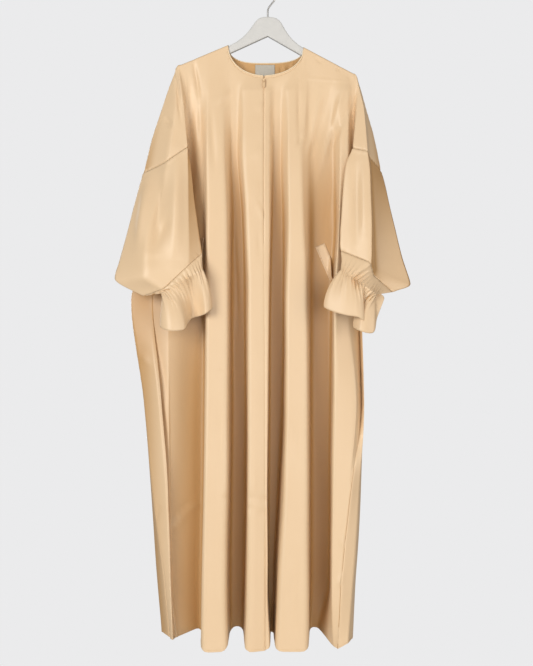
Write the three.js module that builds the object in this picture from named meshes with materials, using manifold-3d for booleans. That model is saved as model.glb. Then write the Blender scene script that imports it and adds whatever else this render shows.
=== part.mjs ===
// An abaya with gathered cuffs on a clothes hanger: millimetres, +Z up, the front faces -Y.
// The origin is the inside top of the hanger's hook. "Left" and "right" are as seen from the front.
// Heights of the cloth are given as a drop, in mm below the origin.
import * as THREE from 'three';
import Module from 'manifold-3d';
import { mergeVertices } from 'three/addons/utils/BufferGeometryUtils.js';

const wasm = await Module();
wasm.setup();

// ---------------------------------------------------------------- driving dimensions
const clothWall = 1.5;
const seamGap = 0.3;
const neckFold = 6;
const capRadius = 45;
const foldRadius = { shoulder: 5, below: 15 };
const neckLeft = -95;
const neckRight = 86;
const centreFront = -9;
const frontNeckDrop = 219;
const backNeckDrop = 184;

const hook = { wire: 3.8, innerRadius: 20, bend: 55, bendRadius: 4, shankEnd: 96, boreClearance: 0.3,
  joinAngle: -48, endAngle: 205 };
// The hanger's neck sweeps from its top out to the roots of the arms; x, and drop, of its curve's points.
const hanger = { thick: 12, top: 75, apex: 122, armStart: 92, armRoot: 149, armHeight: 20, halfLength: 206,
  slope: 0.475, tilt: 0.045, tiltCentre: 120, edge: 3, tipInset: 8, tipDrop: 3.8,
  neckWaist: [36, 96], neckCurve: [[22, 75], [28, 82], [46, 112], [58, 132]] };

// Heights where the folds are given: the shoulder edge, then these drops; the hem hangs lower on a ridge.
const levelDrop = [0, 254, 397, 563, 755, 990, 1203, 1415, 1538];
const levels = levelDrop.map((_, level) => level);
const hemSag = 20;
const frontRidge = [12, 20, 36, 50, 62, 75, 88, 98, 106];
const frontValley = [10, 9, 7, 4, 2, 0, -2, -4, -6];
const backRidge = [10, 20, 32, 44, 56, 68, 78, 86, 92];
const backValley = [9, 14, 20, 24, 26, 28, 30, 30, 30];

// Rows of the cloth: the level they lie at, and how far below the shoulder edge the first ones start.
const rows = [
  { level: 0, below: 0, cap: 0 }, { level: 0, below: 1.2, cap: 0.03 }, { level: 0, below: 5, cap: 0.1 },
  { level: 0.35, below: 5, cap: 0.4 }, { level: 0.7, below: 5, cap: 0.72 },
  ...[1, 1.35, 1.7, 2, 2.3, 2.65, 3, 3.35, 3.7, 4, 4.4, 4.8, 5.2, 5.6, 6, 6.5, 7, 7.5, 8]
    .map((level) => ({ level, below: 5, cap: level })),
];
const armholeLevel = 2;

// ---------------------------------------------------------------- fold lines of the fronts
// x of each fold line at the nine levels; out is 0 in a valley and 1 on a ridge.
const leftFolds = [
  { line: 'rollLeft', x: [-40, -57, -59, -51, -46, -46, -46, -48, -52],
    out: [0.5, 1, 1, 1, 1.05, 1.05, 1.05, 1.05, 1.05] },
  { line: 'hollowB', x: [-61, -69, -71, -59, -54, -52, -52, -56, -59],
    out: [0.5, 0.2, 0.05, 0, 0, 0, 0, 0, 0] },
  { line: 'hollowBLeft', x: [-81, -88, -88, -83, -86, -86, -88, -91, -91],
    out: [0.5, 0.1, 0, 0, 0, 0, 0, 0, 0] },
  { line: 'ridgeA', x: [-95, -107, -104, -96, -93, -92, -93, -95, -91],
    out: [0, 0.7, 0.9, 1, 1, 1, 1, 1, 1] },
  { line: 'ridgeALeft', x: [-124, -140, -144, -143, -144, -146, -149, -152, -152],
    out: [0, 0.9, 1, 1, 1.05, 1.05, 1.05, 1.05, 1.05] },
  { line: 'hollowA', x: [-147, -155, -155, -152, -150, -152, -154, -158, -159],
    out: [0, 0.4, 0.4, 0.35, 0.12, 0, 0, 0, 0] },
  { line: 'hollowALeft', x: [-169, -169, -169, -177, -220, -230, -230, -225, -209],
    out: [0, 0.1, 0.1, 0.15, 0.3, 0.45, 0.45, 0.45, 0.4] },
  { line: 'smallRidge', x: [-186, -181, -182, -189, -236, -234, -231, -227, -213],
    out: [0, -0.2, -0.25, -0.05, 0.3, 0.5, 0.5, 0.5, 0.45] },
  { line: 'tuck', x: [-195, -188, -190, -201, -277, -265, -243, -232, -217],
    out: [0, -0.3, -0.3, -0.1, 0.12, 0.3, 0.45, 0.5, 0.45] },
  { line: 'stripEdge', x: [-202, -193, -196, -208, -274, -249, -232, -226, -222],
    out: [0, -0.1, -0.1, -0.1, 0.1, 0.6, 0.65, 0.65, 0.6] },
  { line: 'sideLeft', x: [-207, -196, -200, -217, -327, -296, -274, -243, -231],
    out: [0, 0, -0.08, -0.05, 0, 0.2, 0.35, 0.5, 0.45] },
];
const rightFolds = [
  { line: 'rollRight', x: [5, 4, 5, 5, 3, 0, -1, -1, 5],
    out: [0.55, 0.8, 0.7, 0.8, 0.9, 0.95, 0.95, 1, 1] },
  { line: 'hollowC', x: [27, 15, 13, 10, 5, 3, 1, 1, 7], out: [0.5, 0.2, 0.05, 0, 0, 0, 0, 0, 0] },
  { line: 'hollowCRight', x: [48, 32, 32, 37, 39, 37, 27, 15, 14], out: [0.5, 0, 0, 0, 0, 0, 0, 0, 0.1] },
  { line: 'ridgeC', x: [68, 48, 48, 48, 43, 42, 36, 24, 17], out: [0.5, 0.9, 1, 1, 1, 1, 1, 1, 1] },
  { line: 'ridgeCRight', x: [86, 77, 79, 83, 92, 93, 93, 94, 93], out: [0, 0.8, 0.9, 1, 1, 1, 1, 1, 1] },
  { line: 'hollowD', x: [106, 99, 104, 106, 104, 104, 104, 102, 101],
    out: [0, 0.15, 0.05, 0, 0, 0, 0, 0, 0] },
  { line: 'hollowDRight', x: [149, 151, 158, 161, 153, 151, 150, 149, 121],
    out: [0, 0.1, 0, 0, 0, 0, 0, 0, 0.05] },
  { line: 'ridgeD', x: [168, 172, 171, 167, 156, 152, 148, 146, 151],
    out: [0, 0.9, 1, 1, 1, 1, 1, 1, 0.8] },
  { line: 'ridgeDRight', x: [187, 191, 191, 187, 188, 207, 185, 164, 156],
    out: [0, 0.9, 1, 0.6, 0.6, 0.9, 1, 1, 0.85] },
  { line: 'turnRight', x: [197, 201, 200, 202, 203, 217, 189, 166, 158],
    out: [0, 0.3, 0.1, 0.1, 0.3, 0.6, 1, 1, 0.87] },
  { line: 'sideRight', x: [205, 208, 206, 219, 218, 221, 191, 168, 160],
    out: [0, 0.1, 0.1, -0.05, 0.1, 0.5, 1, 1, 0.9] },
];

// Fold lines of the back, from the left side seam to the right one; y is given where it isn't a plain fold.
const backFolds = [
  { line: 'flankLeft', x: [-203, -197, -192, -214, -329, -299, -281, -265, -254],
    y: [9, 16, 24, 10, 6, 4, 2, -6, -4] },
  { line: 'backSideLeft', x: [-190, -186, -182, -204, -314, -290, -276, -263, -255],
    y: [9, 17, 25, 26, 24, 24, 26, 28, 30] },
  { line: 'ridgeE', x: [-172, -170, -170, -188, -268, -256, -246, -240, -234],
    out: [0, 0.8, 1, 1, 1, 1, 1, 1, 1] },
  { line: 'ridgeELeft', x: [-150, -146, -146, -158, -206, -202, -198, -194, -190],
    out: [0, 0.8, 1, 1, 1, 1, 1, 1, 1] },
  { line: 'hollowE', x: [-134, -130, -130, -136, -168, -168, -166, -166, -166],
    out: [0, 0, 0, 0, 0, 0, 0, 0, 0] },
  { line: 'hollowERight', x: [-118, -116, -116, -120, -144, -148, -150, -152, -152],
    out: [0, 0, 0, 0, 0, 0, 0, 0, 0] },
  { line: 'ridgeF', x: [-95, -98, -98, -100, -116, -122, -126, -128, -128],
    out: [0, 0.8, 1, 1, 1, 1, 1, 1, 1] },
  { line: 'ridgeFRight', x: [-62, -66, -64, -64, -72, -78, -82, -84, -84],
    out: [0.5, 0.8, 1, 1, 1, 1, 1, 1, 1] },
  { line: 'hollowF', x: [-48, -50, -48, -46, -50, -56, -60, -62, -62],
    out: [0.5, 0.2, 0, 0, 0, 0, 0, 0, 0] },
  { line: 'hollowFRight', x: [-32, -34, -32, -30, -32, -38, -42, -44, -44],
    out: [0.5, 0.2, 0, 0, 0, 0, 0, 0, 0] },
  { line: 'ridgeG', x: [-16, -18, -16, -12, -8, -12, -16, -18, -20], out: [0.5, 0.8, 1, 1, 1, 1, 1, 1, 1] },
  { line: 'ridgeGRight', x: [16, 14, 16, 18, 26, 30, 32, 32, 30], out: [0.5, 0.8, 1, 1, 1, 1, 1, 1, 1] },
  { line: 'hollowG', x: [32, 30, 32, 34, 44, 50, 52, 52, 50], out: [0.5, 0.2, 0, 0, 0, 0, 0, 0, 0] },
  { line: 'hollowGRight', x: [46, 44, 46, 50, 60, 66, 68, 68, 66], out: [0.5, 0.2, 0, 0, 0, 0, 0, 0, 0] },
  { line: 'ridgeH', x: [62, 64, 64, 70, 80, 86, 88, 88, 86], out: [0.5, 0.8, 1, 1, 1, 1, 1, 1, 1] },
  { line: 'ridgeHRight', x: [86, 94, 96, 104, 114, 120, 122, 120, 116],
    out: [0, 0.8, 1, 1, 1, 1, 1, 1, 1] },
  { line: 'hollowH', x: [118, 114, 116, 122, 132, 138, 138, 134, 130], out: [0, 0, 0, 0, 0, 0, 0, 0, 0] },
  { line: 'hollowHRight', x: [138, 132, 132, 138, 148, 154, 154, 148, 142],
    out: [0, 0, 0, 0, 0, 0, 0, 0, 0] },
  { line: 'ridgeI', x: [158, 154, 152, 158, 168, 174, 174, 166, 158], out: [0, 0.8, 1, 1, 1, 1, 1, 1, 1] },
  { line: 'ridgeIRight', x: [178, 178, 174, 184, 196, 202, 200, 190, 184],
    out: [0, 0.8, 1, 1, 1, 0.9, 0.8, 0.7, 0.6] },
  { line: 'flankRight', x: [192, 195, 190, 210, 222, 225, 220, 206, 201],
    y: [9, 17, 24, 18, 4, -30, -45, -50, -50] },
  { line: 'wrapRight', x: [201, 203, 197, 218, 223, 226, 213, 197, 185],
    y: [9, 17, 25, 4, -12, -54, -72, -84, -92] },
];

// Shoulder caps: from the fold beside the body out to the shoulder edge and round to the back, each at
// five stations down to the armhole seam.
const capLevels = [0, 1, 1.33, 1.67, 2];
const leftCap = [
  { line: 'capInner', x: [-214, -202, -196, -192, -190],
    drop: [190, 254, 303, 352, 393], y: [-8.5, -15, -24, -31, -36] },
  { line: 'capFold', x: [-217, -204, -198, -193, -189],
    drop: [193, 254, 304, 353, 395], y: [-8, -18, -28, -36, -42] },
  { line: 'capFront', x: [-221, -218, -220, -228, -237],
    drop: [199, 254, 305, 366, 428], y: [-6, -18, -30, -38, -46] },
  { line: 'capEdge', x: [-223, -240, -257, -278, -299],
    drop: [206, 250, 302, 365, 450], y: [0, 0, 0, 0, 0] },
  { line: 'capBack', x: [-221, -219, -224, -238, -257],
    drop: [199, 252, 304, 362, 418], y: [6, 16, 24, 28, 28] },
  { line: 'capBackInner', x: [-214, -207, -202, -198, -196],
    drop: [190, 254, 303, 350, 386], y: [8.5, 16, 22, 26, 28] },
];
const rightCap = [
  { line: 'capInner', x: [208, 214, 210, 205, 199],
    drop: [211, 253, 296, 342, 398], y: [-8.5, -12, -24, -36, -48] },
  { line: 'capFold', x: [211, 219, 229, 232, 234],
    drop: [214, 254, 303, 353, 407], y: [-8, -16, -32, -46, -60] },
  { line: 'capFront', x: [214, 222, 231, 238, 243],
    drop: [219, 257, 307, 358, 419], y: [-6, -10, -18, -26, -34] },
  { line: 'capEdge', x: [216, 225, 239, 255, 273], drop: [226, 252, 302, 358, 444], y: [0, 0, 0, 0, 0] },
  { line: 'capBack', x: [214, 219, 222, 228, 234],
    drop: [219, 255, 305, 360, 420], y: [6, 12, 20, 24, 26] },
  { line: 'capBackInner', x: [208, 211, 208, 204, 201],
    drop: [211, 254, 300, 345, 389], y: [8.5, 14, 20, 24, 27] },
];

// Sleeves: stations from just below the armhole seam down to the seam of the cuff panel.
const leftSleeve = [
  { line: 'capInner', x: [-179, -172, -163, -156, -152, -151],
    drop: [454, 510, 565, 610, 632, 645], y: [-44, -51, -58, -64, -67, -69] },
  { line: 'capFold', x: [-188, -187, -186, -185, -185, -185],
    drop: [465, 522, 580, 628, 656, 679], y: [-56, -69, -80, -88, -92, -95] },
  { line: 'capFront', x: [-252, -266, -276, -281, -280, -240],
    drop: [489, 548, 606, 660, 702, 733], y: [-60, -73, -84, -94, -100, -100] },
  { line: 'capEdge', x: [-308, -320, -334, -350, -360, -288],
    drop: [486, 535, 596, 661, 704, 748], y: [-8, -18, -28, -38, -48, -74] },
  { line: 'capBack', x: [-271, -285, -303, -324, -342, -283],
    drop: [452, 511, 575, 643, 700, 742], y: [24, 16, 6, -6, -16, -48] },
  { line: 'capBackInner', x: [-213, -224, -243, -270, -292, -245],
    drop: [457, 521, 589, 652, 706, 722], y: [22, 12, 0, -16, -24, -52] },
  { line: 'underBack', x: [-211, -221, -238, -258, -262, -215],
    drop: [457, 519, 584, 646, 694, 700], y: [12, 3, -7, -20, -30, -56] },
  { line: 'underFront', x: [-210, -218, -227, -236, -228, -180],
    drop: [456, 516, 576, 632, 674, 676], y: [-16, -16, -20, -28, -42, -58] },
];
const rightSleeve = [
  { line: 'capInner', x: [180, 171, 166, 163, 163, 167],
    drop: [439, 503, 556, 600, 622, 640], y: [-54, -60, -65, -70, -72, -73] },
  { line: 'capFold', x: [239, 240, 241, 240, 239, 237],
    drop: [454, 512, 570, 618, 648, 670], y: [-70, -78, -86, -91, -93, -95] },
  { line: 'capFront', x: [246, 248, 250, 251, 252, 248],
    drop: [462, 522, 584, 642, 684, 700], y: [-38, -42, -48, -54, -62, -72] },
  { line: 'capEdge', x: [282, 292, 305, 321, 338, 294],
    drop: [481, 529, 585, 655, 716, 737], y: [-4, -8, -14, -20, -28, -50] },
  { line: 'capBack', x: [243, 257, 271, 290, 309, 285],
    drop: [462, 521, 584, 652, 716, 736], y: [22, 18, 14, 8, 0, -30] },
  { line: 'capBackInner', x: [213, 226, 238, 251, 262, 262],
    drop: [457, 521, 585, 650, 705, 728], y: [22, 18, 13, 7, 0, -30] },
  { line: 'underBack', x: [214, 226, 232, 236, 238, 235],
    drop: [457, 520, 582, 640, 690, 712], y: [12, 8, 4, 0, -10, -40] },
  { line: 'underFront', x: [214, 225, 229, 229, 217, 196],
    drop: [455, 512, 568, 618, 655, 668], y: [-14, -12, -13, -19, -36, -56] },
];

// Cuffs: the elastic ring, and the free edge of the ruffle as it waves round from the inner side.
const leftCuff = {
  ring: { centre: [-198, -90, 714], half: [45, 15, -26.5] },
  edge: { x: [-129, -142, -159, -174, -183, -191, -222, -245, -245, -224, -195, -173, -146],
    drop: [774, 788, 794, 798, 810, 825, 828, 819, 805, 798, 793, 781, 765],
    y: [-82, -96, -80, -72, -92, -116, -122, -104, -80, -62, -70, -54, -68] },
};
const rightCuff = {
  ring: { centre: [210, -92, 717], half: [-39, 16, -27] },
  edge: { x: [129, 151, 180, 205, 221, 203, 196, 212, 241, 252, 270, 257, 228, 192, 156],
    drop: [772, 785, 793, 797, 806, 798, 817, 829, 832, 798, 752, 770, 784, 775, 763],
    y: [-96, -112, -122, -124, -112, -92, -94, -116, -108, -92, -76, -66, -72, -66, -72] },
};
const gatherDepth = 3;
const cuffGap = 0.5;
const sleeveSteps = [0.5, 1, 1.5, 2, 2.5, 3, 3.5, 4, 4.4, 4.7, 5];
const cuffSteps = { panel: [0.35, 0.7, 1], ruffle: [0.12, 0.35, 0.65, 1] };

// ---------------------------------------------------------------- helpers
const mix = (from, to, share) => from + (to - from) * share;
const clamp = (value, low, high) => Math.min(high, Math.max(low, value));

// A smooth curve through values given at stations, which never overshoots them.
function through(stations, values, at) {
  const last = stations.length - 1;
  let left = 0;
  while (left < last - 1 && at > stations[left + 1]) left += 1;
  const slope = (k) => (values[k + 1] - values[k]) / (stations[k + 1] - stations[k]);
  const tangent = (k) => {
    if (k === 0) return slope(0);
    if (k === last) return slope(last - 1);
    const before = slope(k - 1);
    const after = slope(k);
    return before * after <= 0 ? 0 : (2 * before * after) / (before + after);
  };
  const step = stations[left + 1] - stations[left];
  const u = (at - stations[left]) / step;
  const bend = u * u * (3 - 2 * u);
  return mix(values[left], values[left + 1], bend)
    + step * (tangent(left) * u * (1 - u) ** 2 - tangent(left + 1) * u * u * (1 - u));
}

// The top of the hanger's arm, as a drop, and the cloth's shoulder edge that lies on it.
function armTop(x) {
  const level = (place) => hanger.armRoot + hanger.slope * (Math.abs(place) - hanger.armStart);
  const own = x + (level(x) - hanger.tiltCentre) * hanger.tilt;
  return hanger.tiltCentre + (level(own) - hanger.tiltCentre) * Math.cos(hanger.tilt)
    + own * Math.sin(hanger.tilt);
}
const crestLift = 2.8;
const crest = (x) => armTop(x) - crestLift;

// The neckline's drop at x: half an ellipse from each neck point to the middle.
function neckline(x, middle, lowest, roundness) {
  const edge = x < middle ? neckLeft : neckRight;
  const start = crest(edge) + neckFold;
  const across = clamp(Math.abs((x - middle) / (edge - middle)), 0, 1);
  return start + (lowest - start) * Math.sqrt(1 - across ** roundness);
}
// Where a column starts: on the shoulder, over the arm's edge at the neck point, or at the neckline.
const neckTurn = 0.4;
function columnTop(x, middle, lowest, roundness) {
  const inside = Math.min(x - neckLeft, neckRight - x);
  const over = neckFold * clamp((inside + neckTurn) / (2 * neckTurn), 0, 1);
  return { over, drop: over < neckFold ? crest(x) + over : neckline(x, middle, lowest, roundness) };
}
const archSpan = 5;
const arch = (below) => Math.sqrt(1 - (1 - clamp(below / archSpan, 0, 1)) ** 2);

// A point of a body fold line on a row.
function bodyPoint(fold, row, facing) {
  const isFront = facing < 0;
  const x = through(levels, fold.x, row.level);
  const ridge = through(levels, isFront ? frontRidge : backRidge, row.level);
  const valley = through(levels, isFront ? frontValley : backValley, row.level);
  const out = fold.out ? through(levels, fold.out, row.level) : 0.4;
  const depth = fold.y ? through(levels, fold.y, row.level) : facing * mix(valley, ridge, out);
  const [neckDrop, neckRoundness] = isFront ? [frontNeckDrop, 2] : [backNeckDrop, 3];
  const top = columnTop(x, centreFront, neckDrop, neckRoundness);
  const below = top.over + row.below;
  const sag = row.level > 7 ? hemSag * clamp(out, 0, 1) * (row.level - 7) : 0;
  const start = top.drop + row.below * (top.over < neckFold ? 1 : 0.6);
  const drop = row.level < 1 ? mix(start, levelDrop[1], row.level)
    : through(levels.slice(1), levelDrop.slice(1), row.level) + sag;
  const y = row.level < 1 ? facing * 0.2 + (depth - facing * 0.2) * arch(below) : depth;
  return new THREE.Vector3(x, y, -drop);
}
function capPoint(fold, row) {
  const depth = through(capLevels, fold.y, row.cap);
  const share = row.level > 0 ? 1 : arch(row.below);
  const y = Math.sign(depth) * 0.2 * (1 - share) + depth * share;
  return new THREE.Vector3(through(capLevels, fold.x, row.cap), y, -through(capLevels, fold.drop, row.cap));
}

// Rounds the corners of a row of fold points; each line gives as many samples as it asks for.
function roundedRow(lines, points, radius, closed) {
  const count = lines.length;
  return lines.map((line, k) => {
    const here = points[k];
    const isEnd = !closed && (k === 0 || k === count - 1);
    if (line.samples === 1 || isEnd) return Array(line.samples).fill(here);
    const before = points[(k + count - 1) % count];
    const after = points[(k + 1) % count];
    const reach = Math.min(line.radius ?? radius, 0.46 * here.distanceTo(before));
    const leave = Math.min(line.radius ?? radius, 0.46 * here.distanceTo(after));
    const first = here.clone().lerp(before, reach / Math.max(here.distanceTo(before), 1e-6));
    const last = here.clone().lerp(after, leave / Math.max(here.distanceTo(after), 1e-6));
    if (line.samples === 2) return [first, last];
    const middle = here.clone().multiplyScalar(0.5).addScaledVector(first, 0.25).addScaledVector(last, 0.25);
    return [first, middle, last];
  });
}

// ---------------------------------------------------------------- the cloth as one net of points
// Each point has a key, so that panels that are sewn together share their seam points.
const cloth = { points: new Map(), faces: [], seamNormals: new Map() };
const put = (key, point) => {
  if (!cloth.points.has(key)) cloth.points.set(key, point);
  return key;
};
const face = (panel, corners) => cloth.faces.push({ panel, corners });

const join = { line: 'join', x: [-9, -9, -9, -9, -8, -6, -6, -6, -6],
  out: [0.6, 0.9, 0.9, 0.9, 0.95, 0.95, 0.95, 0.95, 0.95], samples: 1, facing: -1, panel: 'front_left' };
const sharpLines = ['sideLeft', 'flankLeft', 'flankRight', 'wrapRight', 'sideRight'];
const bodyLines = (folds, facing, panel) => folds.map((fold) => ({ ...fold, facing, panel,
  samples: sharpLines.includes(fold.line) ? 1 : 2 }));
const capLines = (cap, side) => cap.map((fold) => ({ ...fold, line: `${side}.${fold.line}`, isCap: side,
  samples: fold.line === 'capEdge' ? 1 : 3, radius: capRadius }));

const loop = [
  join,
  ...bodyLines(leftFolds, -1, 'front_left'),
  ...capLines(leftCap, 'left').map((fold, k) => ({ ...fold, panel: k < 3 ? 'front_left' : 'back' })),
  ...bodyLines(backFolds, 1, 'back'),
  ...capLines(rightCap, 'right').reverse()
    .map((fold, k) => ({ ...fold, panel: k < 2 ? 'back' : 'front_right' })),
  ...bodyLines(rightFolds, -1, 'front_right').reverse(),
];

const roundingAt = (row) => (row.level < 0.1 ? neckTurn
  : mix(foldRadius.shoulder, foldRadius.below, clamp(row.level / 1.2, 0, 1)));
const rowPoint = (fold, row) => (fold.isCap ? capPoint(fold, row) : bodyPoint(fold, row, fold.facing));

// The columns of one row, with the caps only above the armhole.
function columnsOf(rowIndex, withCaps) {
  const row = rows[rowIndex];
  const lines = loop.filter((fold) => withCaps || !fold.isCap);
  const samples = roundedRow(lines, lines.map((fold) => rowPoint(fold, row)), roundingAt(row), true);
  const columns = [];
  lines.forEach((fold, k) => samples[k].forEach((point, n) => {
    const key = put(`${rowIndex}/${fold.line}/${n}`, point);
    const isLast = n === samples[k].length - 1;
    columns.push({ key, fold, isLast });
  }));
  return columns;
}
const armholeRow = rows.findIndex((row) => row.level === armholeLevel);
for (let r = 0; r + 1 < rows.length; r += 1) {
  const hasCaps = r < armholeRow;
  const upper = hasCaps || r > armholeRow ? columnsOf(r, hasCaps)
    : columnsOf(r, true).filter((column) => !column.fold.isCap);
  const lower = columnsOf(r + 1, hasCaps || r + 1 === armholeRow)
    .filter((column) => hasCaps || !column.fold.isCap);
  upper.forEach((column, c) => {
    const next = (c + 1) % upper.length;
    let panel = column.fold.panel;
    if (!hasCaps && column.isLast && column.fold.line === 'sideLeft') panel = 'back';
    face(panel, [column.key, upper[next].key, lower[next].key, lower[c].key]);
  });
}

// ---------------------------------------------------------------- sleeves
const sleeveStations = [0, 1, 2, 3, 4, 5, 6];
function sleeve(side, table, cap) {
  const panel = `sleeve_${side}`;
  const armhole = columnsOf(armholeRow, true);
  const capColumns = armhole.filter((column) => column.fold.isCap === side);
  const frontUnder = side === 'left' ? armhole.findLast((column) => column.fold.line === 'sideLeft')
    : armhole.find((column) => column.fold.line === 'sideRight');
  const backUnder = side === 'left' ? armhole.find((column) => column.fold.line === 'flankLeft')
    : armhole.findLast((column) => column.fold.line === 'wrapRight');
  const ends = side === 'left' ? [frontUnder, ...capColumns, backUnder]
    : [backUnder, ...capColumns, frontUnder];
  const names = side === 'left' ? ['underFront', ...cap.map((fold) => fold.line), 'underBack']
    : ['underBack', ...cap.map((fold) => fold.line).reverse(), 'underFront'];
  const startOf = (name) => {
    if (name === 'underFront') return cloth.points.get(frontUnder.key);
    if (name === 'underBack') return cloth.points.get(backUnder.key);
    return capPoint(cap.find((fold) => fold.line === name), rows[armholeRow]);
  };
  const isSharp = (name) => name === 'capEdge' || name.startsWith('under');
  const lines = names.map((name) => ({ name, samples: isSharp(name) ? 1 : 3, radius: capRadius }));
  const stationPoint = (name, at) => {
    const fold = table.find((entry) => entry.line === name);
    const start = startOf(name);
    return new THREE.Vector3(
      through(sleeveStations, [start.x, ...fold.x], at),
      through(sleeveStations, [start.y, ...fold.y], at),
      -through(sleeveStations, [-start.z, ...fold.drop], at));
  };
  const steps = [...sleeveSteps, 5.4, 5.7, 6];
  let upper = ends.map((column) => column.key);
  steps.forEach((at, s) => {
    const points = names.map((name) => stationPoint(name, at));
    const samples = roundedRow(lines, points, foldRadius.below, true);
    const lower = samples.flatMap((list, k) => list
      .map((point, n) => put(`${panel}/${s}/${names[k]}/${n}`, point)));
    upper.forEach((key, c) => {
      const next = (c + 1) % upper.length;
      face(panel, [key, upper[next], lower[next], lower[c]]);
    });
    upper = lower;
  });
  return upper;
}
const leftSleeveEnd = sleeve('left', leftSleeve, leftCap);
const rightSleeveEnd = sleeve('right', rightSleeve, rightCap);

// ---------------------------------------------------------------- cuffs
function cuff(side, sleeveEnd, table) {
  const panel = `cuff_${side}`;
  const count = sleeveEnd.length * 2;
  const seam = [];
  sleeveEnd.forEach((key, c) => {
    const here = cloth.points.get(key);
    const next = cloth.points.get(sleeveEnd[(c + 1) % sleeveEnd.length]);
    seam.push(here.clone(), here.clone().lerp(next, 0.5));
  });
  const [cx, cy, drop] = table.ring.centre;
  const centre = new THREE.Vector3(cx, cy, -drop);
  const along = new THREE.Vector3(table.ring.half[0], 0, -table.ring.half[2]);
  // Each column finds its place round the ring by its direction from the middle of the seam.
  const middle = seam.reduce((sum, point) => sum.add(point), new THREE.Vector3()).divideScalar(count);
  const unit = along.clone().normalize();
  const sleeveHalf = { deep: 26, wide: 62 };
  const angles = seam.map((point) => {
    const offset = point.clone().sub(middle);
    return Math.atan2(-offset.y / sleeveHalf.deep, offset.dot(unit) / sleeveHalf.wide);
  });
  const turn = side === 'left' ? 1 : -1;
  // A column keeps most of its own direction on the ring, and is evened out a little.
  const unwrapped = angles.reduce((list, angle, c) => {
    if (c === 0) return [angle];
    const rest = (angle - list[c - 1]) * turn;
    const step = ((rest % (2 * Math.PI)) + 3 * Math.PI) % (2 * Math.PI) - Math.PI;
    return [...list, list[c - 1] + turn * Math.max(step, 0.02)];
  }, []);
  const evenShare = 0.3;
  const ringAngle = (c) => mix(unwrapped[c], angles[0] + turn * (2 * Math.PI * c) / count, evenShare);
  const ringPoint = (c, gather) => {
    const angle = ringAngle(c);
    const ripple = c % 2 === 0 ? gather : -gather;
    const grow = 1 + ripple / along.length();
    return centre.clone().addScaledVector(along, Math.cos(angle) * grow)
      .add(new THREE.Vector3(0, -Math.sin(angle) * (table.ring.half[1] + ripple), 0));
  };
  const edgePoints = table.edge.x.map((x, k) => new THREE.Vector3(x, table.edge.y[k], -table.edge.drop[k]));
  const edge = new THREE.CatmullRomCurve3(edgePoints, true, 'centripetal');
  const edgePoint = (c) => {
    const share = ringAngle(c) / (2 * Math.PI);
    return edge.getPoint(((share % 1) + 1) % 1);
  };
  const grid = [seam];
  cuffSteps.panel.forEach((share) => grid.push(seam.map((point, c) => {
    const ring = ringPoint(c, gatherDepth * share);
    return point.clone().lerp(ring, share);
  })));
  cuffSteps.ruffle.forEach((share) => grid.push(seam.map((_, c) => {
    const ring = ringPoint(c, gatherDepth * (1 - 0.6 * share));
    const edgeAt = edgePoint(c);
    const spread = Math.sin(share * Math.PI / 2) ** 0.8;
    return new THREE.Vector3(mix(ring.x, edgeAt.x, spread), mix(ring.y, edgeAt.y, spread),
      mix(ring.z, edgeAt.z, share));
  })));
  // The first row lies on the sleeve's last edge, a seam's gap below it, with the sleeve's own normals.
  let upper = grid[0].map((point, c) => {
    const inward = grid[1][c].clone().sub(point).normalize();
    const key = put(`${panel}/0/${c}`, point.clone().addScaledVector(inward, cuffGap));
    const beside = [Math.floor(c / 2), Math.floor((c + 1) / 2) % sleeveEnd.length];
    cloth.seamNormals.set(key, beside.map((k) => sleeveEnd[k]));
    return key;
  });
  grid.slice(1).forEach((list, r) => {
    const lower = list.map((point, c) => put(`${panel}/${r + 1}/${c}`, point));
    upper.forEach((key, c) => {
      const next = (c + 1) % count;
      face(panel, [key, upper[next], lower[next], lower[c]]);
    });
    upper = lower;
  });
}
cuff('left', leftSleeveEnd, leftCuff);
cuff('right', rightSleeveEnd, rightCuff);

// ---------------------------------------------------------------- from the net to closed walls
// Normals by the angle that each face has at a corner; the panels that meet at an underarm keep their own.
const underarmKeys = new Set([`${armholeRow}/sideLeft/0`, `${armholeRow}/flankLeft/0`,
  `${armholeRow}/sideRight/0`, `${armholeRow}/wrapRight/0`]);
function normalsOf(faces) {
  const normals = new Map();
  faces.forEach(({ corners }) => corners.forEach((key, k) => {
    const here = cloth.points.get(key);
    const after = cloth.points.get(corners[(k + 1) % 4]).clone().sub(here);
    const before = cloth.points.get(corners[(k + 3) % 4]).clone().sub(here);
    if (after.length() < 1e-6 || before.length() < 1e-6) return;
    const facing = new THREE.Vector3().crossVectors(after, before).normalize();
    if (!normals.has(key)) normals.set(key, new THREE.Vector3());
    normals.get(key).addScaledVector(facing, after.angleTo(before));
  }));
  normals.forEach((normal, key) => {
    const isShoulderSeam = key.startsWith('0/') && Math.abs(cloth.points.get(key).y) < 0.25;
    if (isShoulderSeam) normal.y = 0;
    normal.normalize();
  });
  return normals;
}
const sharedNormals = normalsOf(cloth.faces);
const ownNormals = new Map();
const rowOf = (key) => Number(key.split('/')[0]);
const bodyNormals = normalsOf(cloth.faces.filter(({ panel, corners }) => !/^(sleeve|cuff)/.test(panel)
  && rowOf(corners[0]) >= armholeRow));
function normalAt(panel, key) {
  if (!ownNormals.has(panel)) {
    ownNormals.set(panel, normalsOf(cloth.faces.filter((entry) => entry.panel === panel)));
  }
  if (cloth.seamNormals.has(key)) {
    const sleevePanel = panel.replace('cuff', 'sleeve');
    const [one, other] = cloth.seamNormals.get(key).map((name) => normalAt(sleevePanel, name));
    return one.clone().lerp(other, 0.5);
  }
  if (!underarmKeys.has(key)) return sharedNormals.get(key);
  return (panel.startsWith('sleeve') ? ownNormals.get(panel) : bodyNormals).get(key);
}

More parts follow.
